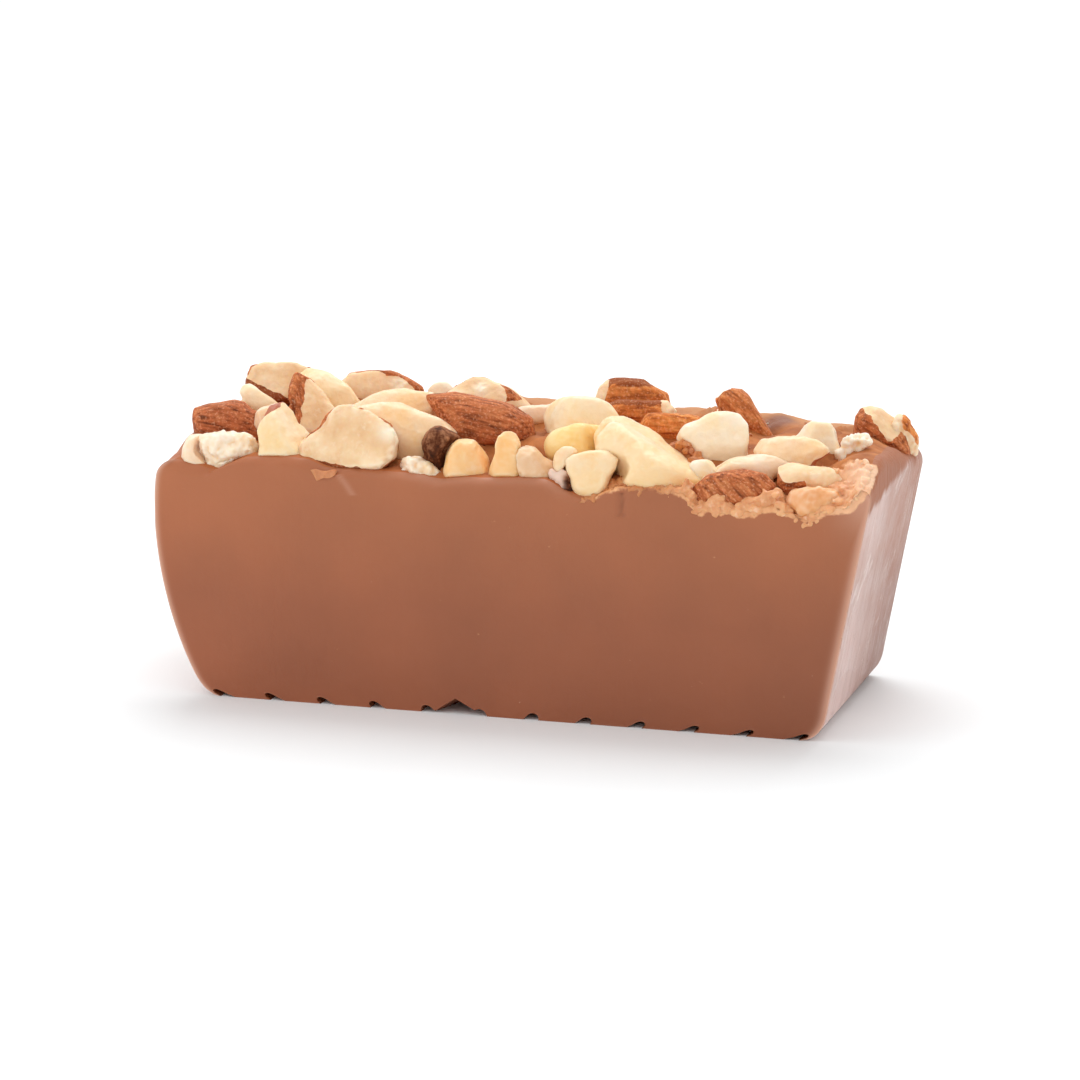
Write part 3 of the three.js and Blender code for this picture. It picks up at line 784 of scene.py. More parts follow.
# Painted shade: the chocolate runs from a darker tone at the foot to a lighter one at the top.
CHOCOLATE_LOW = (0.315, 0.089, 0.033, 1)
CHOCOLATE_MID = (0.34, 0.099, 0.037, 1)
CHOCOLATE_HIGH = (0.445, 0.14, 0.052, 1)
POURED_DARK = (0.34, 0.108, 0.037, 1)
POURED_LIGHT = (0.54, 0.195, 0.062, 1)
# Painted reflection along the back of the top.
BACK_REFLECTION_TINT = (0.58, 0.28, 0.13, 1)
POURED_FADE = 2.0
CUT_DUST = (0.7, 0.45, 0.3, 1)
GLOSS_TOP = 39.8
GLOSS_SLOPE = 0.09
GLOSS_FADE = 1.2
GLOSS_EDGE = ((1.2, 2.5, 41),)
GLOSS_STRETCH = (0, 1, 0.3)
# Painted reflection: a whitish pink laid into the glossy walls.
WALL_REFLECTION_TINT = (0.86, 0.63, 0.58, 1)
# Painted shade towards the right foot.
RIGHT_SHADE = 2.4
# Painted highlight on the chips of the slanting band.
CHIP_HIGHLIGHT = (0.9, 0.72, 0.66, 1)
CHIPPED_SLANT = 0.72
CHIPPED_BAND = (27.8, 4.5)
# A lighter tone, laid on wear and smears, and as a painted highlight along the top edge of the cut face.
WORN_AND_HIGHLIGHT = (0.66, 0.36, 0.25, 1)
WORN_WIDTH = 1.0
WORN_LESS_LEFT = 1.6
WORN_CORNER = 0.7
WORN_CORNER_REACH = 5.0
# Painted highlight along the top edge of the cut face.
EDGE_HIGHLIGHT = 0.35
HIGHLIGHT_DOWN = 1.0
HIGHLIGHT_ALONG = ((-25, 0), (-15, 1), (8, 1), (13, 0))
TORN_DARK = (0.66, 0.27, 0.11, 1)
TORN_LIGHT = (0.85, 0.44, 0.205, 1)
TORN_PALE = (0.93, 0.61, 0.41, 1)
TORN_REACH = 5.5
TORN_DOWN = 1.1
TORN_ALONG = ((TORN_FROM, 0), (TORN_FROM + TORN_FADE, 0.55), (28, 0.55), (31, 1))
TORN_LUMPS = ((0.7, 2.2, 31), (0.35, 1.0, 32))
CRUST_FROM = (52, -12)
CRUST_FADE = (5, 4)
CRUST_EDGE = ((3, 3.0, 35),)
CRUST_RIM = 2.5
CRUST_LEAST = 0.4
CRUST_LUMPS = ((0.4, 2.0, 33), (0.3, 0.9, 34))
CHOCOLATE_LIGHT = (0.12, (1.0, 0.45, 0.25), 1.2)


def curve_points(corners, count=40):
    """Points along a Bezier curve with two or three legs."""
    t = np.linspace(0, 1, count)[:, None]
    order = len(corners) - 1
    shares = [math.comb(order, i) * t**i * (1 - t) ** (order - i) for i in range(order + 1)]
    return sum(share * np.array(corner) for share, corner in zip(shares, corners))


def swell(distance, spread):
    """A smooth hump that falls to nothing within a few spreads."""
    return np.exp(-((distance / spread) ** 2))


def eased(share):
    """A share from nothing to all, with soft ends."""
    return share**2 * (3 - 2 * share)


def uneven(points, lumps):
    """Heights of lumps of several sizes, each with a height, a width and a seed."""
    return sum(height * rough(points, wave, seed) for height, wave, seed in lumps)


def dented(points, lumps):
    """Depths of dents of several sizes, none of which stands out."""
    return sum(height * np.abs(rough(points, wave, seed)) for height, wave, seed in lumps)


def rounded_in(below, radius):
    """How far a rounded edge stands back at a depth below the top."""
    return radius * (1 - np.sqrt(1 - np.clip(1 - below / radius, 0, 1) ** 2))


def torn_share(x, y):
    """How far the front edge is torn at a place on the top."""
    return np.interp(x, *zip(*TORN_ALONG)) * swell(y + SLICE_DEPTH / 2, TORN_REACH)


def poured_top(x, y):
    """Height of the chocolate between the nuts, with lumps that each have a place, a height and a reach."""
    from_front = y + SLICE_DEPTH / 2
    rise = np.clip((from_front - DOME_START) / DOME_REACH, 0, 1)
    dome = DOME_HEIGHT * eased(rise) * (1 - (x / TOP_RIGHT) ** DOME_SQUARE)
    behind = np.clip((from_front - BACK_START) / BACK_REACH, 0, 1)
    dome += BACK_RISE * eased(behind) * (1 - (x / TOP_RIGHT) ** BACK_SQUARE)
    (a, b), (c, d) = RIPPLE_TURNS
    ripple = RIPPLE_HEIGHT * np.sin(a * x + b * y) * np.cos(c * x + d * y)
    lip_length = np.where(y < LIP_AT, LIP_LENGTH[0], LIP_LENGTH[1])
    crest = LIP_HEIGHT * swell(y - LIP_AT, lip_length) * swell(x - TOP_RIGHT, LIP_WIDTH)
    lumps = sum(h * swell(np.hypot(x - a, y - b), r) for a, b, h, r in COATED_LUMPS)
    raised = np.clip((TORN_FROM + TORN_FADE - x) / RAISED_FADE, 0, RAISED_EDGE)
    edge = np.interp(x, *zip(*FRONT_EDGE)) - EDGE_HEIGHT - crest + raised
    inner = (ripple + lumps) * (1 - swell(from_front, LEVEL_REACH))
    return EDGE_HEIGHT + dome + inner + crest + edge * swell(from_front, EDGE_REACH)


def base_height(x, y):
    """Height of the ribbed base, with the chip in the foot of the cut face."""
    from_rib = ((x / RIB_PITCH) % 1 - 0.5) * RIB_PITCH
    ribs = np.sqrt(np.clip(RIB_RADIUS**2 - from_rib**2, 0, None))
    wide, deep, high = CHIP_SIZE
    chip = high * (1 - np.abs(x - CHIP_AT) / wide - (y + SLICE_DEPTH / 2) / deep)
    return np.maximum(ribs, chip)


rib_centres = (np.arange(RIB_COUNT) - (RIB_COUNT - 1) / 2) * RIB_PITCH
base_columns = [-BASE_WIDTH / 2, BASE_WIDTH / 2]
for centre in rib_centres:
    base_columns.extend(centre + np.linspace(-RIB_HALF, RIB_HALF, RIB_STEPS))
    base_columns.extend(centre + RIB_HALF + np.linspace(0, RIB_PITCH - 2 * RIB_HALF, FLAT_STEPS)[1:-1])
base_columns = np.unique([x for x in base_columns if abs(x) <= BASE_WIDTH / 2])
across = base_columns / BASE_WIDTH + 0.5
back = np.linspace(0, 1, TOP_ROWS)
deep = SLICE_DEPTH * (0.5 * back + 0.5 * back**2 - 0.5)
level = np.linspace(0, 1, RUNGS)
high = level - RUNG_CROWDING * np.sin(2 * np.pi * level)

top_x = np.repeat(TOP_LEFT + across * (TOP_RIGHT - TOP_LEFT), len(deep))
top_y = np.tile(deep, len(across))
top_z = poured_top(top_x, top_y)
all_nuts = BVHTree.FromPolygons(np.concatenate(nut_points).tolist(), nut_faces)
for i, point in enumerate(np.stack([top_x, top_y, top_z], 1)):
    near, way, _, gap = all_nuts.find_nearest(Vector(point))
    if (Vector(point) - near).dot(way) > 0:
        held_back = min(1, (point[1] + SLICE_DEPTH / 2) / MENISCUS_FROM_EDGE)
        top_z[i] += MENISCUS_HEIGHT * held_back * math.exp(-((gap / MENISCUS_REACH) ** 2))
top_points = np.stack([top_x, top_y, np.zeros(len(top_x))], 1)
torn = torn_share(top_x, top_y)
top_z += uneven(top_points, TOP_LUMPS)
top_z += torn * uneven(top_points, TORN_LUMPS)
crust_from_left = np.clip((top_x - CRUST_FROM[0]) / CRUST_FADE[0], 0, 1)
crust_ragged = CRUST_FROM[1] - top_y + uneven(top_points, CRUST_EDGE)
corner_crust = crust_from_left * np.clip(crust_ragged / CRUST_FADE[1], 0, 1)
corner_crust *= np.clip((top_y + SLICE_DEPTH / 2) / CRUST_RIM, CRUST_LEAST, 1)
top_z += corner_crust * uneven(top_points, CRUST_LUMPS)
top_z = top_z.reshape(len(across), len(deep))
torn = torn.reshape(len(across), len(deep))

shell = np.zeros((len(across), len(deep), len(high)), bool)
shell[[0, -1]] = True
shell[:, [0, -1]] = True
shell[:, :, [0, -1]] = True
order = np.full(shell.shape, -1)
order[shell] = np.arange(shell.sum())


def sheet_faces(sheet, turned):
    """Four-cornered faces over one side of the lattice."""
    corners = (sheet[:-1, :-1], sheet[1:, :-1], sheet[1:, 1:], sheet[:-1, 1:])
    faces = np.stack(corners, -1).reshape(-1, 4)
    return faces[:, ::-1] if turned else faces


wall_faces = np.concatenate([sheet_faces(order[0], True), sheet_faces(order[-1], False)])
other_faces = np.concatenate([
    sheet_faces(order[:, 0], False), sheet_faces(order[:, -1], True), sheet_faces(order[:, :, 0], True),
    sheet_faces(order[:, :, -1], False),
])
body_faces = np.concatenate([wall_faces, other_faces])

column, row, rung = np.argwhere(shell).T
share = across[column]
y = deep[row]
base = base_height((share - 0.5) * BASE_WIDTH, y)
z = base + high[rung] * (top_z[column, row] - base)
left_line = np.concatenate([curve_points(LEFT_WALL), curve_points(LEFT_FOOT)])[::-1]
right_line = np.concatenate([[(TOP_RIGHT, EDGE_HEIGHT)], curve_points(RIGHT_FOOT)])[::-1]
left_x = np.interp(z, left_line[:, 1], left_line[:, 0])
right_x = np.interp(z, right_line[:, 1], right_line[:, 0])
below_top = top_z[column, row] - z
left_x = left_x + rounded_in(below_top, LEFT_ROUND)
right_x = right_x - rounded_in(below_top, np.interp(y, RIGHT_ROUND_ALONG, RIGHT_ROUND))
body_points = np.stack([left_x + share * (right_x - left_x), y, z], 1)

on_front = row == 0
on_back = row == len(deep) - 1
on_wall = (column == 0) | (column == len(across) - 1)
on_top = rung == len(high) - 1
on_base = rung == 0
top_here = top_z[column, 0]
rounded = EDGE_ROUND * (1 - torn[column, 0])
bend = np.clip((z - top_here + rounded) / np.maximum(rounded, NO_ROUND), 0, 1)
body_points[:, 1] += np.where(on_front, rounded * (1 - np.sqrt(1 - bend**2)), 0)
carried = 1 - np.clip((y + SLICE_DEPTH / 2) / CARRIED_BACK, 0, 1)
body_points[:, 1] += np.where(on_top & ~on_front, rounded * carried, 0)
front_points = body_points[on_front]
front_relief = dented(front_points, FACE_LUMPS)
scratch_x, scratch_top, scratch_foot = SCRATCH
in_scratch = (front_points[:, 2] < scratch_top) & (front_points[:, 2] > scratch_foot)
front_relief += SCRATCH_DEPTH * in_scratch * swell(front_points[:, 0] - scratch_x, SCRATCH_WIDTH)
body_points[on_front, 1] += CUT_INSET + front_relief
body_points[on_back, 1] -= CUT_INSET + dented(body_points[on_back], BACK_LUMPS)

edge_count = on_front.astype(int) + on_back + on_wall + on_top + on_base
near_edge = EDGE_SOFT * (edge_count > 1)
near_edge[on_base] *= BASE_SOFT
smooth_rim = EDGE_SOFT * (1 - torn[column, row])
rim_zone = (on_top & (row < RIM_ROWS)) | (on_front & (rung >= len(high) - RIM_ROWS))
near_edge = np.where(rim_zone, smooth_rim, near_edge)
body_points = soften(body_points, body_faces, EDGE_ROUNDS, near_edge)

at_corner = corner_crust.reshape(len(across), len(deep))[column, row]
torn_mark = np.maximum(torn[column, row], at_corner) * np.clip(1 - below_top / TORN_DOWN, 0, 1)
gloss_top = GLOSS_TOP + GLOSS_SLOPE * y + uneven(body_points * GLOSS_STRETCH, GLOSS_EDGE)
moulded_mark = np.clip((gloss_top - z) / GLOSS_FADE + 0.5, 0, 1)
poured_mark = on_top.astype(float) * np.clip((y + SLICE_DEPTH / 2) / POURED_FADE, 0, 1)
from_hollows = [np.hypot(body_points[:, 0] - a, y - b) / r for a, b, r in HOLLOWS]
hollow_mark = on_top * swell(np.min(from_hollows, 0), 1)
body_x, _, body_z = body_points.T
from_wall = np.minimum(WORN_LESS_LEFT * share, 1 - share) * (right_x - left_x)
worn_wall = on_wall * swell(y + SLICE_DEPTH / 2, WORN_WIDTH)
worn_and_highlight_mark = np.where(on_front, swell(from_wall, WORN_WIDTH), worn_wall)
from_corner = np.hypot(body_x - TOP_RIGHT, body_z - EDGE_HEIGHT)
worn_and_highlight_mark = np.maximum(worn_and_highlight_mark, on_front * WORN_CORNER * swell(from_corner, WORN_CORNER_REACH))
# Painted highlight: a lighter band along the top of the cut face, where light catches the edge.
painted_edge_highlight = EDGE_HIGHLIGHT * swell(below_top, HIGHLIGHT_DOWN) * np.interp(body_x, *zip(*HIGHLIGHT_ALONG))
worn_and_highlight_mark = np.maximum(worn_and_highlight_mark, on_front * painted_edge_highlight)
smear_x = np.interp(-body_z, [-height for _, height in SMEAR], [x for x, _ in SMEAR])
smeared = (body_z < SMEAR[0][1]) & (body_z > SMEAR[-1][1])
worn_and_highlight_mark = np.maximum(worn_and_highlight_mark, on_front * smeared * SMEAR_STRENGTH * swell(body_x - smear_x, SMEAR_WIDTH))


def chocolate_colours(tree, place):
    """Milk chocolate with painted shade, darker towards the foot and towards the right foot, and clouded."""
    up = add_node(tree, "SeparateXYZ", {"Vector": place}).outputs["Z"]
    up = math_node(tree, "MULTIPLY", up, UP_SCALE)
    # Painted shade: darker from the top down to the foot.
    colour = ramp(tree, up, (0.1, CHOCOLATE_LOW), (0.45, CHOCOLATE_MID), (0.9, CHOCOLATE_HIGH))
    clouds = ramp(tree, speckle(tree, place, 38, 3), (0.3, grey(0.82)), (0.7, grey(1)))
    colour = mix(tree, 1.0, colour, clouds, "MULTIPLY")
    # Painted shade: darker towards the right, most at the foot.
    sideways = add_node(tree, "SeparateXYZ", {"Vector": place}).outputs["X"]
    slope = ramp(tree, up, (0.1, grey(1)), (0.9, grey(0.3)))
    painted_right_shade = math_node(tree, "MULTIPLY", math_node(tree, "MULTIPLY", sideways, slope), RIGHT_SHADE)
    return mix(tree, 1.0, colour, math_node(tree, "SUBTRACT", 1.0, painted_right_shade), "MULTIPLY")


def torn_over(tree, place, colour):
    """The pale bare chocolate where the edge is torn, laid over the rest."""
    bits = speckle(tree, place, 500, 4, 0.6)
    bare = ramp(tree, bits, (0.35, TORN_DARK), (0.65, TORN_LIGHT))
    bare = lay(tree, bare, TORN_PALE, mark_value(tree, "corner"), 0.8)
    ragged = math_node(tree, "MULTIPLY_ADD", bits, 1.2, -0.6)
    cover = math_node(tree, "ADD", mark_value(tree, "torn"), ragged)
    return mix(tree, fade(tree, cover, 0.25, 0.5), colour, bare)


def cut_chocolate_material():
    """The satin of a knife cut, with faint slanting streaks and dust."""
    material, tree, shader, place = new_material("cut_chocolate")
    colour = chocolate_colours(tree, place)
    dust = fade(tree, speckle(tree, place, 900, 1), 0.83, 0.86)
    colour = lay(tree, colour, CUT_DUST, dust, 0.3)
    # The worn mark lays a lighter tone on wear and smears, and a painted highlight along the top edge.
    colour = lay(tree, colour, WORN_AND_HIGHLIGHT, mark_value(tree, "worn"), 0.8)
    tree.links.new(torn_over(tree, place, colour), shader.inputs["Base Color"])
    worn = speckle(tree, place, 200, 4)
    tree.links.new(math_node(tree, "MULTIPLY_ADD", worn, 0.16, 0.38), shader.inputs["Roughness"])
    fine = speckle(tree, place, 900, 4, 0.6)
    stretch = add_node(tree, "Mapping", {"Vector": place, "Rotation": (0, 0.75, 0), "Scale": (1100, 300, 50)})
    streaks = speckle(tree, stretch.outputs["Vector"], 1, 3)
    bumps(tree, shader, math_node(tree, "MULTIPLY_ADD", streaks, 0.9, fine), 0.28, 0.2)
    let_light_in(shader, *CHOCOLATE_LIGHT)
    shader.inputs["IOR"].default_value = 1.48
    return material


def poured_chocolate_material():
    """The dull, lumpy top, with a painted reflection that makes it paler along the back, and dark in the
    hollows.
    """
    material, tree, shader, place = new_material("poured_chocolate")
    lumps = speckle(tree, place, 260, 4)
    poured = ramp(tree, lumps, (0.35, POURED_DARK), (0.65, POURED_LIGHT))
    colour = mix(tree, mark_value(tree, "poured"), CHOCOLATE_HIGH, poured)
    # Painted reflection: the top turns paler towards the back, where it is seen at a grazing angle.
    towards_back = add_node(tree, "SeparateXYZ", {"Vector": place}).outputs["Y"]
    behind = math_node(tree, "MULTIPLY", towards_back, BACK_SCALE)
    colour = mix(tree, ramp(tree, behind, (0.5, grey(0)), (0.8, grey(0.85))), colour, BACK_REFLECTION_TINT)
    hollow = mark_value(tree, "hollow")
    colour = mix(tree, ramp(tree, hollow, (0.15, grey(0)), (0.6, grey(0.9))), colour, HOLLOW_DARK)
    tree.links.new(torn_over(tree, place, colour), shader.inputs["Base Color"])
    relief = math_node(tree, "MULTIPLY_ADD", speckle(tree, place, 800, 4, 0.6), 0.6, lumps)
    bumps(tree, shader, relief, 0.5, 0.5)
    tree.links.new(ramp(tree, hollow, (0.15, grey(0.6)), (0.6, grey(0.3))), shader.inputs["Roughness"])
    shader.inputs["Specular IOR Level"].default_value = 0.12
    let_light_in(shader, *CHOCOLATE_LIGHT)
    return material


def stretched(tree, place, turn, scale):
    """Noise drawn out along the walls, as scratches from the tray are."""
    moved = add_node(tree, "Mapping", {"Vector": place, "Rotation": (turn, 0, 0), "Scale": scale})
    return speckle(tree, moved.outputs["Vector"], 1, 4, 0.65)


def moulded_chocolate_material():
    """The gloss of the tray with a painted whitish reflection, fine scratches and a slanting band of chips
    with painted highlights.
    """
    material, tree, shader, place = new_material("moulded_chocolate")
    apart = add_node(tree, "SeparateXYZ", {"Vector": place})
    up = math_node(tree, "MULTIPLY", apart.outputs["Z"], UP_SCALE)
    # Painted reflection: whitish pink laid into the wall colour, strongest low down and towards the front,
    # streaked along the scratches.
    painted_reflection = ramp(tree, up, (0.05, grey(1)), (0.4, grey(0.65)), (0.65, grey(0.5)), (0.9, grey(0.6)))
    behind = math_node(tree, "MULTIPLY_ADD", apart.outputs["Y"], 22, 0.5)
    nearer = ramp(tree, behind, (0.2, grey(1)), (0.75, grey(0.1)))
    streaks = ramp(tree, stretched(tree, place, 0.1, (200, 300, 40)), (0.35, grey(0.75)), (0.65, grey(1)))
    painted_reflection = mix(tree, 1.0, mix(tree, 1.0, painted_reflection, nearer, "MULTIPLY"), streaks, "MULTIPLY")
    glossy = mark_value(tree, "moulded")
    painted_reflection = math_node(tree, "MULTIPLY", painted_reflection, glossy)
    colour = mix(tree, painted_reflection, chocolate_colours(tree, place), WALL_REFLECTION_TINT)
    slant = add_node(
        tree, "Mapping", {"Vector": place, "Rotation": (CHIPPED_SLANT, 0, 0)}, vector_type="TEXTURE"
    ).outputs["Vector"]
    aside = add_node(tree, "SeparateXYZ", {"Vector": slant}).outputs["Z"]
    off = math_node(tree, "ABSOLUTE", math_node(tree, "SUBTRACT", aside, CHIPPED_BAND[0] * MM))
    band = ramp(tree, math_node(tree, "DIVIDE", off, CHIPPED_BAND[1] * MM), (0.2, grey(0.1)), (1, grey(0)))
    chips = add_node(tree, "Mapping", {"Vector": slant, "Scale": (200, 170, 520)}).outputs["Vector"]
    chips = math_node(tree, "ADD", speckle(tree, chips, 1, 3, 0.6), band)
    scars = math_node(tree, "MULTIPLY", fade(tree, chips, 0.62, 0.7), glossy)
    # Painted highlight: the chips are whitened where their faces catch the light.
    colour = lay(tree, colour, CHIP_HIGHLIGHT, scars, 0.4)
    # The worn mark lays a lighter tone on wear. It also carries the painted highlight of the cut face's top
    # edge.
    colour = lay(tree, colour, WORN_AND_HIGHLIGHT, mark_value(tree, "worn"), 0.8)
    tree.links.new(torn_over(tree, place, colour), shader.inputs["Base Color"])
    scratches = stretched(tree, place, 0.12, (300, 1100, 40))
    relief = math_node(tree, "MULTIPLY_ADD", scratches, 1.2, speckle(tree, place, 130, 3))
    bumps(tree, shader, math_node(tree, "MULTIPLY_ADD", scars, 0.6, relief), 0.9, 0.5)
    patches = ramp(tree, speckle(tree, place, 160, 4), (0.35, grey(0.28)), (0.7, grey(0.46)))
    tree.links.new(mix(tree, glossy, grey(0.6), patches), shader.inputs["Roughness"])
    shader.inputs["IOR"].default_value = 1.55
    let_light_in(shader, *CHOCOLATE_LIGHT)
    return material


slice_piece = make_piece(
    "chocolate_slice", body_points, body_faces, cut_chocolate_material(),
    torn=torn_mark, poured=poured_mark, corner=at_corner, worn=worn_and_highlight_mark, moulded=moulded_mark,
    hollow=hollow_mark,
)
slice_piece.data.materials.append(moulded_chocolate_material())
slice_piece.data.materials.append(poured_chocolate_material())
finish = np.zeros(len(body_faces), np.int32)
finish[:len(wall_faces)] = 1
finish[-(len(across) - 1) * (len(deep) - 1):] = 2
slice_piece.data.polygons.foreach_set("material_index", finish)
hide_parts("chocolate_body")


# The crumbled rim: crumbs of chocolate and nut meal, pressed together where the knife tore the front edge.
# They bank up before the front almond, hang over at one place and turn whitish up the front corner.
RIM_CRUMBS = 620
RIM_LENGTH = (11.5, 59.2)
RIM_INSET = 0.45
RIM_DEPTH = 4.0
RIM_CROWDING = 1.6
RIM_SIZE = (0.5, 1.5)
RIM_SUNK = 0.8
SUNK_BEFORE = -21
CLUMP_WAVE = 2.4
CLUMP_SEED = 3.3
CLUMP_LEAST = -0.25
CLUMP_SWELL = 0.6
SPARSE_LEFT = 0.3
THIN_SIZE = 0.65
THIN_PAST = 54
CORNER_CRUMBS = 130
CORNER_ZONE = ((52, 59), (-20.8, -14))
CORNER_SIZE = (0.7, 2.2)
CORNER_SUNK = 0.1
BANK_CRUMBS = 150
BANK_LENGTH = (29.0, 47.0)
BANK_DEPTH = (-21.3, -20.2)
BANK_SIZE = (0.8, 1.9)
BANK_SUNK = 0.3
BANK_HEIGHT = 2.2
HUNG_CRUMBS = 16
HUNG_LENGTH = (49.0, 52.5)
HUNG_AT = -21.2
HUNG_SIZE = (0.9, 1.6)
HUNG_DROP = (0, 1.8)
RIM_SEED = 7
RIM_GRAIN = 0.22
RIM_LUMPS = ((0.16, 0.7, 9),)
RIM_CLEAR = 0.02
FLAKE_SHAPE = ((0.8, 2.0), (0.7, 1.3), (0.35, 0.8))
FLAKE_TILT = (-1.2, 1.2)
PALE_FROM = (52, 39)
PALE_FADE = (7, 5)
BROWN_TO = BANK_LENGTH[0] + 2
BROWN_FADE = 6
ABOVE_ALL = 80
REACH_SLACK = 1.01


def crumb_ball():
    """Twelve corners of a ball, one across, and all triangles between them without two opposite corners."""
    gold = (1 + 5**0.5) / 2
    corners = [(0, a, b * gold) for a in (-1, 1) for b in (-1, 1)]
    corners += [(c[1], c[2], c[0]) for c in corners[:4]] + [(c[2], c[0], c[1]) for c in corners[:4]]
    corners = np.array(corners) / np.linalg.norm(corners[0]) / 2
    faces = []
    reach = np.linalg.norm(corners[0] - corners[1]) * REACH_SLACK
    for i, j, k in combinations(range(len(corners)), 3):
        trio = corners[[i, j, k]]
        sides = np.linalg.norm(trio - np.roll(trio, 1, 0), axis=1)
        if sides.max() < reach:
            turned = np.dot(np.cross(trio[1] - trio[0], trio[2] - trio[0]), trio.mean(0)) < 0
            faces.append((i, k, j) if turned else (i, j, k))
    return corners, np.array(faces)


def heap(lumps):
    """Corners and sides of many small balls, each with a middle, size and turn."""
    ball, sides = crumb_ball()
    corners = []
    faces = []
    for n, (middle, size, turn) in enumerate(lumps):
        corners.append((ball * size) @ np.array(Euler(turn).to_matrix()).T + middle)
        faces.append(sides + len(ball) * n)
    return np.concatenate(corners), np.concatenate(faces)


body_surface = BVHTree.FromPolygons(body_points.tolist(), body_faces.tolist())


def drop_on(surface, x, y):
    """Where something dropped at a place comes to rest."""
    return surface.ray_cast(Vector((x, y, ABOVE_ALL)), Vector((0, 0, -1)))[0]


draw = random.Random(RIM_SEED)
rim_lumps = []


def press_on(x, y, size, sunk):
    """Presses a flake of about a size into the chocolate at a place on the top."""
    rest = drop_on(body_surface, x, y)
    if rest is not None:
        shape = size * np.array([draw.uniform(*side) for side in FLAKE_SHAPE])
        tilt = [draw.uniform(*FLAKE_TILT) for _ in range(3)]
        rim_lumps.append((np.array(rest) - (0, 0, sunk), shape, tilt))


for _ in range(RIM_CRUMBS):
    x = draw.uniform(*RIM_LENGTH)
    y = -SLICE_DEPTH / 2 + RIM_INSET + RIM_DEPTH * draw.uniform(0, 1) ** RIM_CROWDING
    clump = noise.noise(Vector((x / CLUMP_WAVE, y / CLUMP_WAVE, CLUMP_SEED)))
    thin = THIN_SIZE if x < BANK_LENGTH[0] or x > THIN_PAST else 1.0
    if clump > CLUMP_LEAST + SPARSE_LEFT * (x < BANK_LENGTH[0]):
        size = thin * (1 + CLUMP_SWELL * clump) * draw.uniform(*RIM_SIZE)
        press_on(x, y, size, RIM_SUNK * draw.uniform(0, 1) ** 2 * (y < SUNK_BEFORE))
for _ in range(CORNER_CRUMBS):
    x, y = (draw.uniform(*side) for side in CORNER_ZONE)
    press_on(x, y, draw.uniform(*CORNER_SIZE), CORNER_SUNK)
for _ in range(BANK_CRUMBS):
    sunk = BANK_SUNK - BANK_HEIGHT * draw.random() ** 2
    press_on(draw.uniform(*BANK_LENGTH), draw.uniform(*BANK_DEPTH), draw.uniform(*BANK_SIZE), sunk)
for _ in range(HUNG_CRUMBS):
    press_on(draw.uniform(*HUNG_LENGTH), HUNG_AT, draw.uniform(*HUNG_SIZE), draw.uniform(*HUNG_DROP))
rim_points, rim_faces = even_skin(*(part.tolist() for part in heap(rim_lumps)), RIM_GRAIN)
rim_points = rim_points + outward(rim_points, rim_faces) * uneven(rim_points, RIM_LUMPS)[:, None]
rim_x, _, rim_z = rim_points.T
rim_corner = np.clip((rim_x - PALE_FROM[0]) / PALE_FADE[0], 0, 1)
rim_corner = rim_corner * np.clip((rim_z - PALE_FROM[1]) / PALE_FADE[1], 0, 1)
rim_brown = np.clip((BROWN_TO - rim_x) / BROWN_FADE, 0, 1)
rim_points[:, 1] = np.maximum(rim_points[:, 1], -SLICE_DEPTH / 2 + RIM_CLEAR)


def crumb_material():
    """Scraped chocolate flecked with nut meal, browner along the left and whitish at the corner."""
    material, tree, shader, place = new_material("scraped_crumbs")
    bits = speckle(tree, place, 420, 4, 0.6)
    colour = ramp(tree, bits, (0.3, TORN_DARK), (0.65, TORN_LIGHT))
    patches = fade(tree, speckle(tree, place, 240, 3), 0.56, 0.68)
    colour = lay(tree, colour, POURED_LIGHT, patches, 0.5)
    colour = mix(tree, mark_value(tree, "corner"), colour, TORN_PALE)
    meal = fade(tree, speckle(tree, place, 650, 2), 0.6, 0.72)
    colour = lay(tree, colour, TORN_PALE, meal, 0.6)
    colour = lay(tree, colour, POURED_LIGHT, mark_value(tree, "brown"), 0.85)
    tree.links.new(colour, shader.inputs["Base Color"])
    bumps(tree, shader, speckle(tree, place, 1100, 3), 0.4, 0.3)
    shader.inputs["Roughness"].default_value = 0.55
    let_light_in(shader, 0.3, (1.0, 0.55, 0.3), 1.0)
    return material


rim_piece = make_piece(
    "crumbled_rim", rim_points, rim_faces, crumb_material(), corner=rim_corner, brown=rim_brown
)


# The fallen crumbs: pale meal, brown flecks of skin and small chopped bits that fell between the nuts.
# Each lies sunk a little into the chocolate where it came to rest, and the larger ones fill two chinks.
OVER_TOP = ((0, 0), (54, 19))
FINE_SIZE = (0.4, 0.9)
PALE_CRUMBS = 30
PALE_SEED = 21
BROWN_CRUMBS = 40
BROWN_SEED = 22
HEAP_AT = ((26.2, -8.0), (3.2, 3.0))
HEAP_SIZE = (1.3, 2.6)
HEAP_CRUMBS = 16
HEAP_SEED = 23
CHINK_AT = ((19.2, -16.8), (2.0, 1.8))
CHINK_SIZE = (1.2, 2.4)
CHINK_CRUMBS = 8
CHINK_SEED = 24
TOSSES = 3
ON_A_NUT = 0.05
CRUMB_SHAPE = (0.6, 1.2)
CRUMB_TURN = (0, 6)
CRUMB_LIFT = 0.12
CRUMB_KNOCK = 0.17
KNOCK_WAVE = 0.6
KNOCK_SEED = 60
both_points = np.concatenate([body_points] + nut_points)
both_faces = body_faces.tolist() + [[i + len(body_points) for i in face] for face in nut_faces]
whole_top = BVHTree.FromPolygons(both_points.tolist(), both_faces)


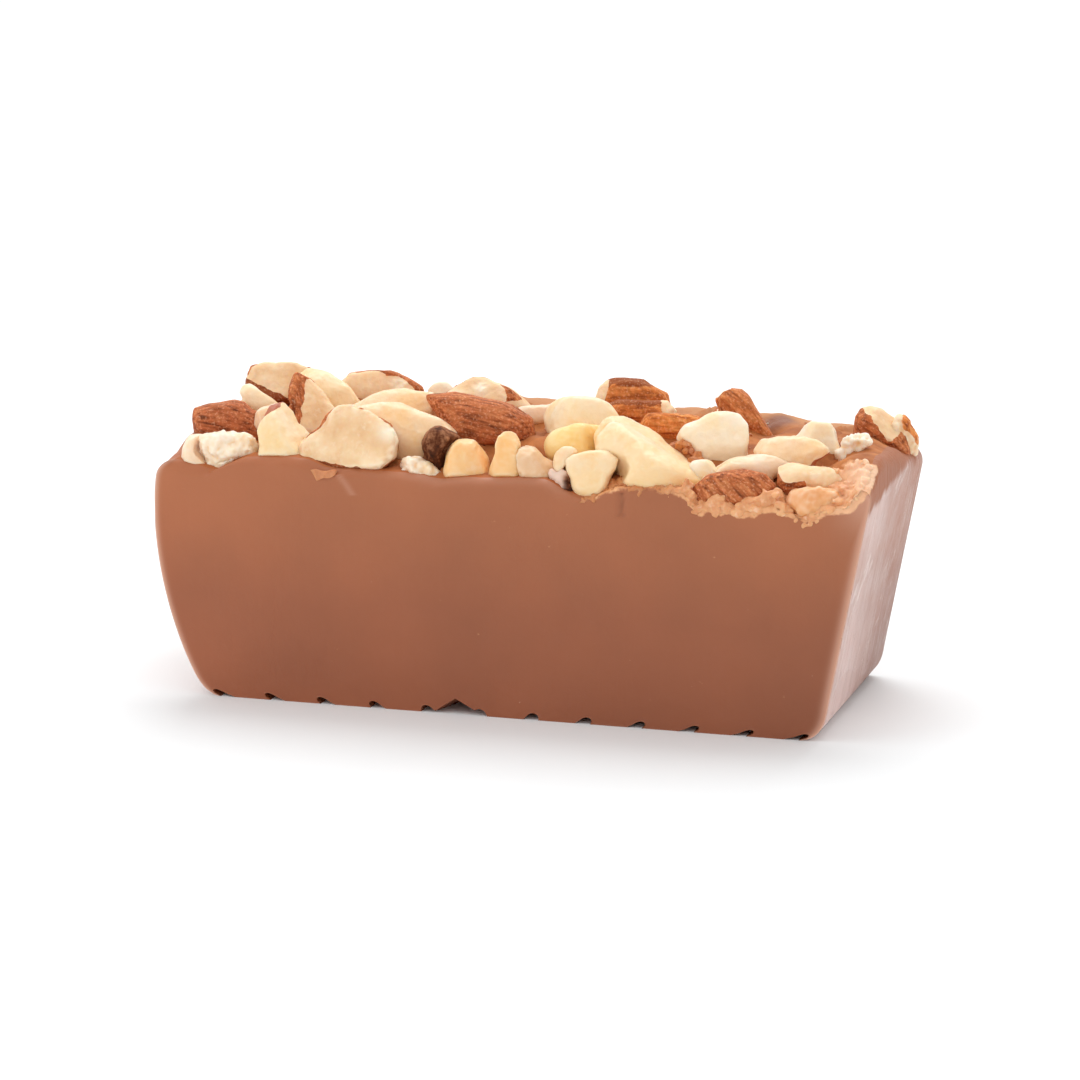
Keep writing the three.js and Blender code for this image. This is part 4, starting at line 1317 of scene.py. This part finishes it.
def fallen(count, where, sizes, seed):
    """Crumbs of many sizes dropped round a place on the top, those kept that fell between the nuts."""
    toss = random.Random(seed)
    (middle_x, middle_y), (far_x, far_y) = where
    lumps = []
    for _ in range(count * TOSSES):
        x = middle_x + toss.uniform(-far_x, far_x)
        y = middle_y + toss.uniform(-far_y, far_y)
        rest = drop_on(whole_top, x, y)
        if (rest - drop_on(body_surface, x, y)).length > ON_A_NUT or len(lumps) == count:
            continue
        size = toss.uniform(*sizes) * np.array([toss.uniform(*CRUMB_SHAPE) for _ in range(3)])
        turn = [toss.uniform(*CRUMB_TURN) for _ in range(3)]
        lumps.append((np.array(rest) + (0, 0, CRUMB_LIFT * size[2]), size, turn))
    return lumps


def crumb_piece(name, lumps, material):
    """Crumbs as one piece, their corners knocked about."""
    points, faces = heap(lumps)
    sizes = np.repeat([size.mean() for _, size, _ in lumps], len(points) // len(lumps))
    knocks = np.stack([rough(points, KNOCK_WAVE, KNOCK_SEED + k) for k in range(3)], 1)
    piece = make_piece(name, points + CRUMB_KNOCK * sizes[:, None] * knocks, faces, material)
    piece.data.shade_flat()


def meal_material(name, dark, light):
    """Broken nut, paler where it is crushed."""
    material, tree, shader, place = new_material(name)
    bits = speckle(tree, place, 500, 3, 0.6)
    tree.links.new(ramp(tree, bits, (0.35, dark), (0.65, light)), shader.inputs["Base Color"])
    bumps(tree, shader, speckle(tree, place, 1500, 2), 0.3, 0.2)
    shader.inputs["Roughness"].default_value = 0.55
    let_light_in(shader, 0.3, (1.0, 0.6, 0.3), 0.8)
    return material


pale_meal = meal_material("nut_meal", CREAM + (1,), CRUMB_WHITE)
pale_lumps = fallen(PALE_CRUMBS, OVER_TOP, FINE_SIZE, PALE_SEED)
pale_lumps += fallen(CHINK_CRUMBS, CHINK_AT, CHINK_SIZE, CHINK_SEED)
crumb_piece("pale_crumbs", pale_lumps, pale_meal)
brown_meal = meal_material("skin_flecks", SKIN_LIGHT, ORANGE_MID)
brown_lumps = fallen(BROWN_CRUMBS, OVER_TOP, FINE_SIZE, BROWN_SEED)
brown_lumps += fallen(HEAP_CRUMBS, HEAP_AT, HEAP_SIZE, HEAP_SEED)
crumb_piece("brown_crumbs", brown_lumps, brown_meal)


# The shaving: a thin curl of chocolate that the knife lifted, stuck to the top of the cut face at the left.
# It hangs a little off the edge and is paler than the face, as fresh scrapings are.
SHAVING_CORNERS = ((-33.2, 39.5), (-28.6, 39.7), (-29.2, 38.7), (-32.1, 37.9))
SHAVING_STEPS = 13
SHAVING_THICK = 0.25
SHAVING_OFF = 0.1
SHAVING_BOW = 0.3
SHAVING_RIPPLE = 0.12
SHAVING_WAVES = 3
SHAVING_FRAY = (9, 4)
SHAVING_TONE = ((0.5, 0.18, 0.07, 1), (0.68, 0.27, 0.11, 1))


def shaving_piece():
    """The curl: a patch between four corners, bowed off the face and closed behind."""
    side = np.linspace(0, 1, SHAVING_STEPS)
    u, v = (part.ravel() for part in np.meshgrid(side, side, indexing="ij"))
    corners = np.array(SHAVING_CORNERS)
    weights = ((1 - u) * (1 - v), u * (1 - v), u * v, (1 - u) * v)
    flat = sum(w[:, None] * corner for w, corner in zip(weights, corners))
    bowed = SHAVING_BOW * (1 - v) + SHAVING_RIPPLE * np.sin(SHAVING_WAVES * np.pi * u)
    frayed = SHAVING_RIPPLE * np.sin(SHAVING_FRAY[0] * u + SHAVING_FRAY[1] * v)
    off = -SLICE_DEPTH / 2 + SHAVING_OFF + bowed
    front = np.stack([flat[:, 0], off, flat[:, 1] + frayed], 1)
    points = np.concatenate([front, front + (0, SHAVING_THICK, 0)])
    net = np.arange(len(front)).reshape(SHAVING_STEPS, SHAVING_STEPS)
    round_edge = np.concatenate([net[:-1, 0], net[-1, :-1], net[:0:-1, -1], net[0, :0:-1]])
    along = np.roll(round_edge, -1)
    sides = np.stack([round_edge, along, along + len(front), round_edge + len(front)], 1)
    faces = np.concatenate([sheet_faces(net, False), sheet_faces(net + len(front), True), sides[:, ::-1]])
    return make_piece("chocolate_shaving", points, faces, meal_material("scraped_chocolate", *SHAVING_TONE))


shaving_piece()


# The set: a white table, a wide soft lamp above and behind, a smaller one at the left, and an even pale room.
# The camera looks a little down on the cut face, turned so that the right end shows.
FLOOR_SIZE = 6.0
FLOOR_SHADE = (0.86, 0.885, 0.895, 1)
FLOOR_WHITE = (0.9, 0.925, 0.935, 1)
LAMP_AIM = (0, 0, 0.02)
ROOM_LIGHT = 0.94
CAMERA_PLACE = (0.22448, -0.77882, 0.21807)
CAMERA_LENS = 166.67
CAMERA_SENSOR = 36
CAMERA_NEAR = 0.01
floor_mesh = bpy.data.meshes.new("floor")
half = FLOOR_SIZE / 2
floor_corners = [(-half, -half, 0), (half, -half, 0), (half, half, 0), (-half, half, 0)]
floor_mesh.from_pydata(floor_corners, [], [(0, 1, 2, 3)])
floor = bpy.data.objects.new("floor", floor_mesh)
bpy.context.collection.objects.link(floor)
floor_material, floor_tree, floor_shader, floor_place = new_material("white_table")
floor_clouds = speckle(floor_tree, floor_place, 30, 2)
floor_tone = ramp(floor_tree, floor_clouds, (0, FLOOR_SHADE), (1, FLOOR_WHITE))
floor_tree.links.new(floor_tone, floor_shader.inputs["Base Color"])
floor_shader.inputs["Roughness"].default_value = 0.8
floor_mesh.materials.append(floor_material)


def add_lamp(name, place, aim, size, watts):
    """A square soft lamp at a place, turned to its aim."""
    light = bpy.data.lights.new(name, "AREA")
    light.size = size
    light.energy = watts
    lamp = bpy.data.objects.new(name, light)
    lamp.location = place
    lamp.rotation_euler = (Vector(aim) - Vector(place)).to_track_quat("-Z", "Y").to_euler()
    bpy.context.collection.objects.link(lamp)


add_lamp("overhead", place=(-0.05, 0.5, 0.85), aim=LAMP_AIM, size=0.7, watts=4.6)
add_lamp("left", place=(-0.7, -0.4, 0.4), aim=LAMP_AIM, size=0.5, watts=1.0)
room = bpy.data.worlds.new("room")
room.use_nodes = True
room_light = room.node_tree.nodes["Background"]
room_light.inputs["Color"].default_value = grey(1)
room_light.inputs["Strength"].default_value = ROOM_LIGHT
bpy.context.scene.world = room
bpy.context.scene.view_settings.view_transform = "Standard"

lens = bpy.data.cameras.new("camera")
lens.lens = CAMERA_LENS
lens.sensor_width = CAMERA_SENSOR
lens.clip_start = CAMERA_NEAR
camera = bpy.data.objects.new("camera", lens)
camera.location = CAMERA_PLACE
camera.rotation_euler = (math.pi / 2 - LOOK_DIP, 0, LOOK_YAW)
bpy.context.collection.objects.link(camera)
bpy.context.scene.camera = camera
